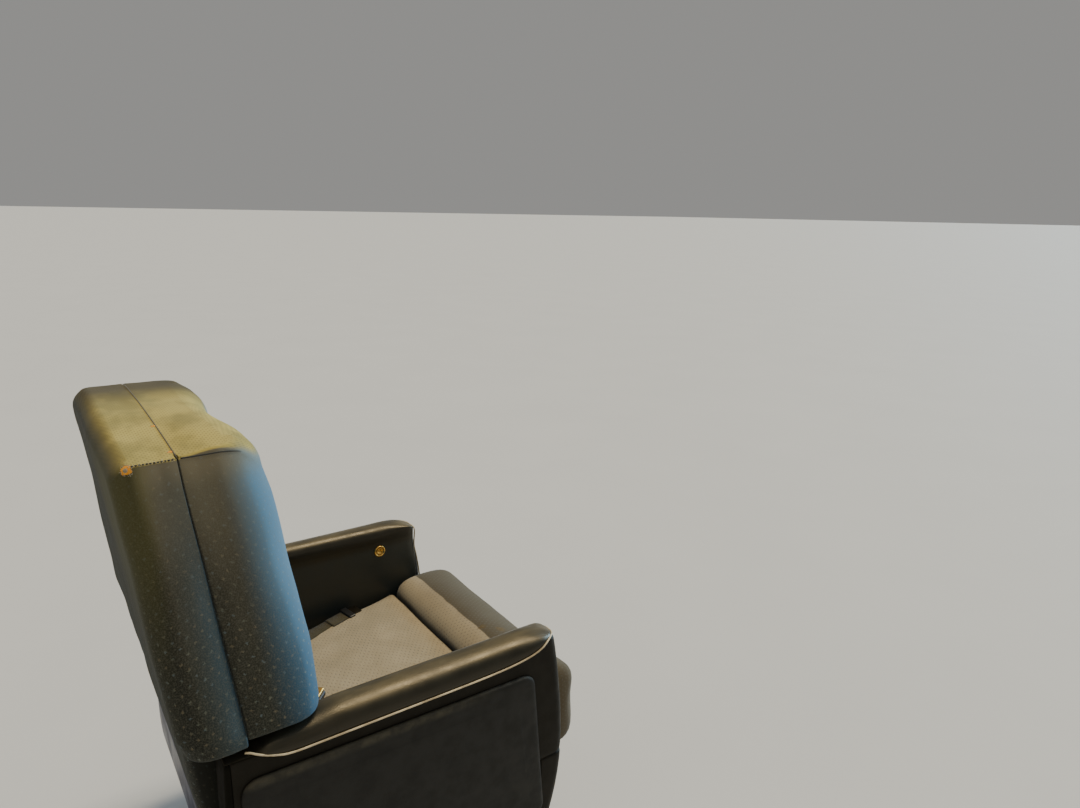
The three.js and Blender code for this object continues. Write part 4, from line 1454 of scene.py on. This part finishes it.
# The crown's shape from the inner to the outer edge, as shares of its width and height
PAD_SHAPE = [(0.0, 0.0), (0.0, 0.18), (0.001, 0.35), (0.012, 0.518), (0.048, 0.675), (0.105, 0.81),
             (0.18, 0.913), (0.267, 0.978), (0.36, 1.0), (0.47, 0.997), (0.6, 0.965), (0.73, 0.895),
             (0.84, 0.78), (0.92, 0.62), (0.975, 0.4), (1.0, 0.17), (0.992, 0.0)]
SKIN_BOTTOM = 0.24
SKIN_ROWS = 12


def pad_section(y):
    """Outer and inner points across the leather that runs up the inner face and over the crown."""
    seam = seam_height(y) + 0.0004
    foot = seam - 0.004
    pulled = along(PAD_INNER, y)
    outer = []
    inner = []
    for k in range(SKIN_ROWS):
        t = k / SKIN_ROWS
        z = SKIN_BOTTOM + (foot - SKIN_BOTTOM) * t
        soft = 0.0012 * math.sin(math.pi * t)
        drawn = pulled * step(t, 0.6, 1.0)
        outer.append(Vector((-ARM_IN + soft - drawn, y, z)))
        inner.append(Vector((-ARM_IN - SKIN - drawn, y, z)))
    width = along(PAD_EDGE, y) - ARM_IN
    rise = along(PAD_CROWN, y) - seam
    for s, t in PAD_SHAPE:
        s += pulled / width * (1 - s)
        outer.append(Vector((-ARM_IN - width * s, y, seam + rise * t if t else foot + 0.002)))
        inner.append(Vector((-ARM_IN - SKIN - (width - SKIN - 0.006) * s, y, seam)))
    outer[-1].z = seam + 0.0002
    return outer, inner


def make_arm_pad(name, side):
    stations = [0.338, 0.334, 0.32, 0.305, 0.292, 0.284, 0.276, 0.268, 0.258, 0.24, 0.22, 0.2, 0.18, 0.16]
    stations += [0.155 - 0.405 * k / 22 for k in range(1, 23)]
    stations += [-0.262, -0.274, -0.285, -0.295, -0.304, -0.311, -0.317, -0.322, -0.326, -0.329, -0.331]
    points = []
    spread = []
    for y in stations:
        outer, inner = pad_section(y)
        spread.append(runs_along(outer))
        points += mirrored(outer, side) + mirrored(inner, side)
    size = len(PAD_SHAPE) + SKIN_ROWS
    plain = [(0, 0)] * 4
    faces = []
    uvs = []
    for k in range(len(stations) - 1):
        a = k * 2 * size
        b = a + 2 * size
        for n in range(size - 1):
            faces.append((a + n, a + n + 1, b + n + 1, b + n))
            uvs.append([(stations[k], spread[k][n]), (stations[k], spread[k][n + 1]),
                        (stations[k + 1], spread[k + 1][n + 1]), (stations[k + 1], spread[k + 1][n])])
            faces.append((a + size + n, b + size + n, b + size + n + 1, a + size + n + 1))
            uvs.append(plain)
        for n in (0, size - 1):
            faces.append((a + n, b + n, b + size + n, a + size + n))
            uvs.append(plain)
    for a in (0, len(points) - 2 * size):
        for n in range(size - 1):
            faces.append((a + n, a + n + 1, a + size + n + 1, a + size + n))
            uvs.append(plain)
    return make(name, points, faces, LEATHER, uvs)


def arm_wrinkles(place, normal):
    """Long soft pulls in the leather, stronger near the arm's front end."""
    front = step(-place.y, 0.12, 0.33)
    long_wave = noise.noise(Vector((place.x * 26, place.y * 5, place.z * 26)))
    tight = noise.noise(Vector((place.x * 60 + 5, place.y * 22, place.z * 60)))
    return 0.0009 * long_wave + 0.0007 * front * tight


def piping_path(side):
    """Along the outer seam from the rear, round the front end, and down the front's inner edge."""
    out = 0.0012
    knots = [(-0.3700, 0.3045, 0.6022), (-0.3745, 0.2965, 0.6015), (-0.3772, 0.287, 0.5965),
             (-0.3790, 0.269, 0.5880), (-0.3800, 0.245, 0.5800), (-0.3803, 0.222, 0.5772)]
    knots += [(-0.3803, 0.20 - 0.30 * k / 7, PAD_SEAM) for k in range(8)]
    for y in (-0.130, -0.160, -0.190, -0.215, -0.240, -0.262, -0.282, -0.298, -0.311, -0.320, -0.3265,
              -0.3305):
        knots.append((-along(PAD_EDGE, y) - out * 0.4, y - out * step(-y, 0.30, 0.33), seam_height(y)))
    knots += [(-0.326, -0.3325, 0.5972), (-0.3145, -0.3325, 0.5955), (-0.3085, -0.331, 0.591),
              (-0.3065, -0.3295, 0.580)]
    for k in range(1, 9):
        z = 0.579 - (0.579 - FOOT_TOP - 0.004) * k / 8
        knots.append((-0.3065, arm_front(z) + 0.0045, z))
    return [Vector((x * side, y, z)) for x, y, z in knots]


def rear_arm_roll(name, side):
    rings = []
    depth = [(0.2863, 0.337), (0.300, 0.339), (0.330, 0.341), (0.430, 0.342), (0.520, 0.341), (0.592, 0.338)]
    rows = [(0.2867, 0.006), (0.290, 0.002), (0.296, 0.0)]
    rows += [(0.31 + 0.265 * k / 12, 0.0) for k in range(13)]
    rows += [(0.585, 0.0005), (0.589, 0.0025), (0.5918, 0.006)]
    front = ARM_REAR + ROLL_LAP + 0.0004
    for z, inset in rows:
        rear = along(depth, z) - inset
        corner = (rear - front) * 0.8
        corners = rectangle(-ARM_OUT + inset, front, -ARM_IN - inset, rear)
        plan = outline(corners, (0.001, 0.001, corner, corner), (14, 8))
        rings.append(mirrored(level(plan, z), side))
    return loft(name, rings, 14, 8, REAR_LEATHER, main=2)


PANEL_CORNERS = [(0.318, 0.185), (-0.296, 0.185), (-0.264, 0.541), (0.318, 0.551)]


def make_side_panel(name, side):
    """The padded panel; its rows are (drawing in, how far out)."""
    rings = []
    rows = [(0.0, 0.3726), (0.0004, 0.3752), (0.0018, 0.3778), (0.0042, 0.3795), (0.0075, 0.3805),
            (0.012, 0.3811), (0.018, 0.3814), (0.027, 0.3816), (0.04, 0.3818)]
    middle_y, middle_z = 0.02, 0.366
    for inset, x in rows:
        corners = []
        for y, z in PANEL_CORNERS:
            corners.append((y - math.copysign(inset, y - middle_y), z - math.copysign(inset, z - middle_z)))
        plan = outline(corners, [max(0.005, 0.030 - inset)] * 4, (44, 26))
        rings.append([Vector((-x * side, p.x, p.y)) for p in plan])
    shapes = (as_it_is, crowned(0, -side * 0.0022))
    return loft(name, rings, 44, 26, PANEL_LEATHER, shapes, plane=(1, 2))


def lathe(name, profile, centre, axis_side, look):
    """A solid of revolution about X through profile points (radius, distance towards the seat)."""
    turns = 40
    points = []
    faces = []
    for radius, out in profile:
        for n in range(turns):
            angle = 2 * math.pi * n / turns
            points.append(Vector((centre[0] - axis_side * out, centre[1] + radius * math.cos(angle),
                                  centre[2] + radius * math.sin(angle))))
    for k in range(len(profile) - 1):
        faces += band(k * turns, (k + 1) * turns, turns)
    return make(name, points, faces + end_faces(len(profile), turns), look)


# Radius and distance towards the seat, from the rim to the middle
RING_PROFILE = [(0.0102, -0.002), (0.0102, 0.0012), (0.0108, 0.0022), (0.0120, 0.0034), (0.0134, 0.0038),
                (0.0148, 0.0033), (0.0157, 0.0020), (0.0160, 0.0003), (0.0160, -0.002)]
BUTTON_PROFILE = [(0.0094, -0.002), (0.0095, 0.0014), (0.0091, 0.0024), (0.0080, 0.0028),
                  (0.0062, 0.0022), (0.0040, 0.0013), (0.0018, 0.0009), (0.0004, 0.0008)]
CONTROL = (-0.305, -0.224, 0.555)


def make_arm(word, side):
    """side is 1 for the right arm, at -X, and -1 for the left."""
    shell = make_arm_side("arm_side_" + word, side)
    set_up(shell, "seat", "leather", "arm_shell_" + word)
    foot = make_arm_foot("arm_foot_cover_" + word, side)
    set_up(foot, "seat", "leather", "arm_foot_" + word)
    pad = subdivided(make_arm_pad("arm_pad_cover_" + word, side))
    relief(pad, arm_wrinkles)
    set_up(pad, "seat", "leather", "arm_pad_" + word, fill=0.9)
    for piece in (shell, foot):
        subdivided(piece)
    piping = tube("arm_piping_" + word, smooth_path(piping_path(side), 0.004), 0.0018, PIPING, 10)
    set_up(piping, "seat", "leather")
    roll = subdivided(rear_arm_roll("arm_rear_cover_" + word, side))
    set_up(roll, "seat", "leather", "arm_rear_roll_" + word, fill=0.9)
    panel = make_side_panel("side_panel_cover_" + word, side)
    set_up(panel, "seat", "panel_leather", "side_panel_" + word, fill=0.9)
    centre = (CONTROL[0] * side, *CONTROL[1:])
    ring = subdivided(lathe("control_ring_trim_" + word, RING_PROFILE, centre, -side, BRASS))
    set_up(ring, "seat", "brass", "control_ring_" + word)
    button = subdivided(lathe("control_button_trim_" + word, BUTTON_PROFILE, centre, -side, BRASS))
    set_up(button, "seat", "brass", "control_button_" + word)


make_arm("right", 1)
make_arm("left", -1)


# Front panel and rear rail

def upright_plate(name, rows, half, low, high, radii, counts, arc, look, face=as_it_is):
    """A plate that stands across the seat; its rows are (drawing in, y), and face shapes its front."""
    rings = []
    for inset, y in rows:
        corners = rectangle(-half + inset, low + inset, half - inset, high - inset)
        rings.append([Vector((p.x, y, p.y)) for p in outline(corners, radii, counts, arc)])
    return loft(name, rings, *counts, look, (as_it_is, face), plane=(0, 2))


def make_front_panel():
    rows = [(0.0, -0.3172), (0.0002, -0.336), (0.0015, -0.340), (0.004, -0.3418), (0.010, -0.3420),
            (0.0118, -0.3405), (0.0136, -0.3420), (0.022, -0.3430)]
    return upright_plate("front_panel_cover", rows, 0.3044, 0.1654, 0.2866, [0.008] * 4, (48, 14), 2,
                         PANEL_LEATHER, crowned(1, -0.003))


def make_rail():
    rows = [(0.003, 0.3205), (0.0, 0.3225), (0.0, 0.326), (0.0, 0.332), (0.0, 0.338), (0.0008, 0.3405),
            (0.0026, 0.3418), (0.005, 0.3420)]
    radii = (0.042, 0.042, 0.006, 0.006)
    return upright_plate("rear_rail_cover", rows, ARM_OUT, 0.195, 0.2858, radii, (52, 14), 4, RAIL_PAINT)


set_up(subdivided(make_front_panel()), "seat", "panel_leather", "front_panel")
set_up(make_rail(), "seat", "rail_paint", "rear_rail")


# Plinth: ribbed carpet over a box with sloped upper faces, and a pale trim round its edge

PLINTH = {"half": 0.262, "deep": 0.280, "low": 0.062, "top_half": 0.226, "top_deep": 0.244, "top": 0.105,
          "corner": 0.014}


def plinth_plan(half, deep, counts):
    return outline(rectangle(-half, -deep, half, deep), [PLINTH["corner"]] * 4, counts)


def make_plinth():
    rows = [(0.0, 0.004, 0)]
    rows += [(0.003 + 0.057 * k / 14, 0.0, 0) for k in range(15)]
    rows += [(PLINTH["low"] + (PLINTH["top"] - PLINTH["low"]) * k / 14, 0.0, k / 14) for k in range(1, 15)]
    rings = []
    counts = (120, 128)
    for z, inset, t in rows:
        half = PLINTH["half"] + (PLINTH["top_half"] - PLINTH["half"]) * t - inset
        deep = PLINTH["deep"] + (PLINTH["top_deep"] - PLINTH["deep"]) * t - inset
        rings.append(level(plinth_plan(half, deep, counts), z))
    rings.append([Vector((p.x * 0.97, p.y * 0.97, PLINTH["top"] + 0.0005)) for p in rings[-1]])
    return loft("plinth_carpet", rings, *counts, CARPET)


def make_plinth_trim():
    plan = plinth_plan(PLINTH["half"] + 0.0006, PLINTH["deep"] + 0.0006, (30, 32))
    return tube("plinth_trim", level(plan, PLINTH["low"] + 0.0005), 0.0022, TRIM, 8, closed=True)


def ribs(place, normal):
    """Diagonal ribs of the carpet, on the plinth's sides and slopes."""
    if place.z > PLINTH["top"] - 0.0005 or place.z < 0.002:
        return 0.0
    round_run = place.x if abs(normal.y) > abs(normal.x) else place.y
    return 0.0009 * math.sin((round_run + place.z * RIB_SLANT) * 2 * math.pi / CARPET_RIB)


plinth = relief(make_plinth(), ribs)
set_up(plinth, "base", "carpet", "plinth")
set_up(make_plinth_trim(), "base", "carpet")


# Lap belt: two webbing halves that lie on the cushion, with their tongue and buckle

BELT_WIDTH = 0.046
BAND_THICK = 0.0022
FOLD_THICK = 0.002
FOLD_LIFT = 0.0024
FOLD_POINTS = 12
# Each half starts at x0, leans by so much x for each y, and ends at a y
BELTS = {
    "left": {"x0": 0.195, "end": -0.112, "lean": 0.2, "across": (1, 0, 0)},
    "right": {"x0": -0.172, "end": 0.106, "lean": 1.0, "across": (0.7071, 0.7071, 0)},
}
BELT_DROP = 0.252
BELT_LOW = 0.312
BELT_LIE = 0.0016
BEHIND_CUSHION = 0.36
# Fittings: name, low and high corner, rounding, look, lift off the band, slot and CAD node
FITTINGS = {
    "left": [
        ("belt_tongue_plate", (-0.018, -0.006, -0.0008), (0.018, 0.034, 0.0012), 0.003, BLACKED, 0.002,
         "black_plastic", "belt_tongue"),
        ("belt_tongue_grip", (-0.026, -0.008, -0.001), (0.026, 0.010, 0.0062), 0.003, PLASTIC, 0.002,
         "black_plastic"),
    ],
    "right": [
        ("belt_buckle_case", (-0.029, -0.004, -0.001), (0.029, 0.054, 0.0125), 0.004, PLASTIC, 0.001,
         "black_plastic", "belt_buckle"),
        ("belt_buckle_lever", (-0.024, 0.002, 0.0122), (0.024, 0.057, 0.0165), 0.003, BRASS, 0.001,
         "brass"),
    ],
}


def belt_path(word):
    """From the anchor up behind the cushion, and over it to the belt's end."""
    belt = BELTS[word]
    knots = [(belt["x0"], BELT_DROP, z) for z in (BELT_LOW, 0.330, 0.348)]
    y = 0.232
    places = []
    while y > belt["end"]:
        places.append(y)
        y -= 0.02
    for y in places + [belt["end"]]:
        x = belt["x0"] + belt["lean"] * (BELT_DROP - y)
        place = touch(seat_cushion, (x, y, 0.7), (0, 0, -1))[0]
        knots.append((x, y, (place.z if place else BEHIND_CUSHION) + BELT_LIE))
    return smooth_path(knots, 0.005)


def ribbon(name, path, across, width, thick, look):
    """A flat band with thicker edges, laid along a path."""
    half = width / 2
    section = [(-half, 0.0), (-half + 0.0008, thick * 0.55), (-half + 0.004, thick * 0.5), (0, thick * 0.42),
               (half - 0.004, thick * 0.5), (half - 0.0008, thick * 0.55), (half, 0.0),
               (half - 0.001, -thick * 0.5), (0, -thick * 0.42), (-half + 0.001, -thick * 0.5)]
    points = []
    faces = []
    count = len(section)
    for k, place in enumerate(path):
        tangent = heading(path, k)
        side = (across - tangent * across.dot(tangent)).normalized()
        up = side.cross(tangent)
        points += [place + side * u + up * v for u, v in section]
        if k:
            faces += band((k - 1) * count, k * count, count)
    faces += end_faces(len(path), count)
    uvs = band_uvs(runs_along(path), [u for u, v in section + section[:1]])
    uvs += [[(0, 0)] * count] * 2
    return make(name, points, faces, look, uvs)


def rounded_box(name, low, high, radius, look):
    """A box with rounded edges, built as a loft with drawn-in ends."""
    rings = []
    (x0, y0, z0), (x1, y1, z1) = low, high
    r = min(radius, (z1 - z0) / 2 - 0.0001, (x1 - x0) / 2 - 0.0005, (y1 - y0) / 2 - 0.0005)
    rows = [(z0, r), (z0 + r * 0.3, r * 0.3), (z0 + r, 0.0), (z1 - r, 0.0), (z1 - r * 0.3, r * 0.3), (z1, r)]
    for z, inset in rows:
        corners = rectangle(x0 + inset, y0 + inset, x1 - inset, y1 - inset)
        plan = outline(corners, [max(radius - inset, 0.0006)] * 4, (10, 10))
        rings.append(level(plan, z))
    return loft(name, rings, 10, 10, look)


def belt_frame(path):
    """Turn that lays a fitting's +Y along the belt's end, and the way up there."""
    forward = (path[-1] - path[-6]).normalized()
    side = forward.cross(Vector((0, 0, 1))).normalized()
    up = side.cross(forward)
    return Matrix((side, forward, up)).transposed().to_4x4(), up


def make_belts():
    for word, belt in BELTS.items():
        path = belt_path(word)
        across = Vector(belt["across"])
        strap = ribbon("belt_band_" + word, path, across, BELT_WIDTH, BAND_THICK, WEBBING)
        set_up(strap, "seat", "webbing", "belt_" + word)
        fold = [p + Vector((0, 0, FOLD_LIFT)) for p in path[-FOLD_POINTS:]]
        lap = ribbon("belt_fold_" + word, fold, across, BELT_WIDTH - 0.001, FOLD_THICK, WEBBING)
        set_up(lap, "seat", "webbing")
        turn, up = belt_frame(path)
        for name, low, high, radius, look, lift, *said in FITTINGS[word]:
            fitting = rounded_box(name, low, high, radius, look)
            fitting.data.transform(Matrix.Translation(path[-1] + up * lift) @ turn)
            set_up(fitting, "seat", *said)


make_belts()


# Carried-over CAD nodes

def dress(node, look):
    piece = bpy.data.objects.get(node)
    if piece is None:
        piece = next(o for o in bpy.data.objects if o.name.split(".")[0] == node)
    mesh = piece.data
    mesh.materials.clear()
    mesh.materials.append(look)


for node in ("plinth_plate", "swivel_plate", "seat_beam_left", "seat_beam_right", "hinge_lug_left",
             "hinge_lug_right", "hinge_bracket_left", "hinge_bracket_right", "belt_anchor_left",
             "belt_anchor_right"):
    dress(node, ALLOY)
for node in ("swivel_bearing", "swivel_spindle", "hinge_pin_left", "hinge_pin_right"):
    dress(node, STEEL)
dress("seat_pan", PLASTIC)


# Floor, world and light

FLOOR_REACH = 400.0
FLOOR_STEPS = 24


def make_floor():
    """A plain floor whose squares grow with their distance."""
    marks = []
    for k in range(-FLOOR_STEPS, FLOOR_STEPS + 1):
        share = k / FLOOR_STEPS
        marks.append(FLOOR_REACH * abs(share) ** 3 * (1 if k > 0 else -1))
    points = [Vector((x, y, 0)) for x in marks for y in marks]
    wide = len(marks)
    faces = []
    for i in range(wide - 1):
        for j in range(wide - 1):
            a = i * wide + j
            faces.append((a, a + 1, a + wide + 1, a + wide))
    look = Look("floor", 0.85, Specular_IOR_Level=0.3)
    tone = look.blend(look.noise(1.5, 3), (0.56, 0.56, 0.56), (0.60, 0.60, 0.60))
    surface = look.finish(tone, None, look.bump(look.noise(300, 3), 0.0005, 0.3))
    make("floor", points, faces, surface)


def sunlight(name, towards, spread, power, colour):
    """Even light from a direction; spread is its width in degrees."""
    light = bpy.data.lights.new(name, "SUN")
    light.angle = math.radians(spread)
    light.energy = power
    light.color = colour
    lamp = bpy.data.objects.new(name, light)
    lamp.location = Vector(towards) * 3
    lamp.rotation_euler = Vector(towards).to_track_quat("Z", "Y").to_euler()
    scene.collection.objects.link(lamp)


make_floor()
sunlight("window", (0.12, -1.0, 0.30), 32, 3.2, (0.52, 0.79, 1.0))
sunlight("ceiling", (0.05, -0.36, 0.93), 22, 2.6, (1.0, 0.84, 0.58))
sunlight("fill", (-1.0, 0.25, 0.45), 50, 0.35, (1.0, 0.84, 0.60))
world = bpy.data.worlds.new("studio")
world.use_nodes = True
background = world.node_tree.nodes["Background"]
background.inputs["Color"].default_value = (0.88, 0.87, 0.84, 1)
background.inputs["Strength"].default_value = 0.33
scene.world = world
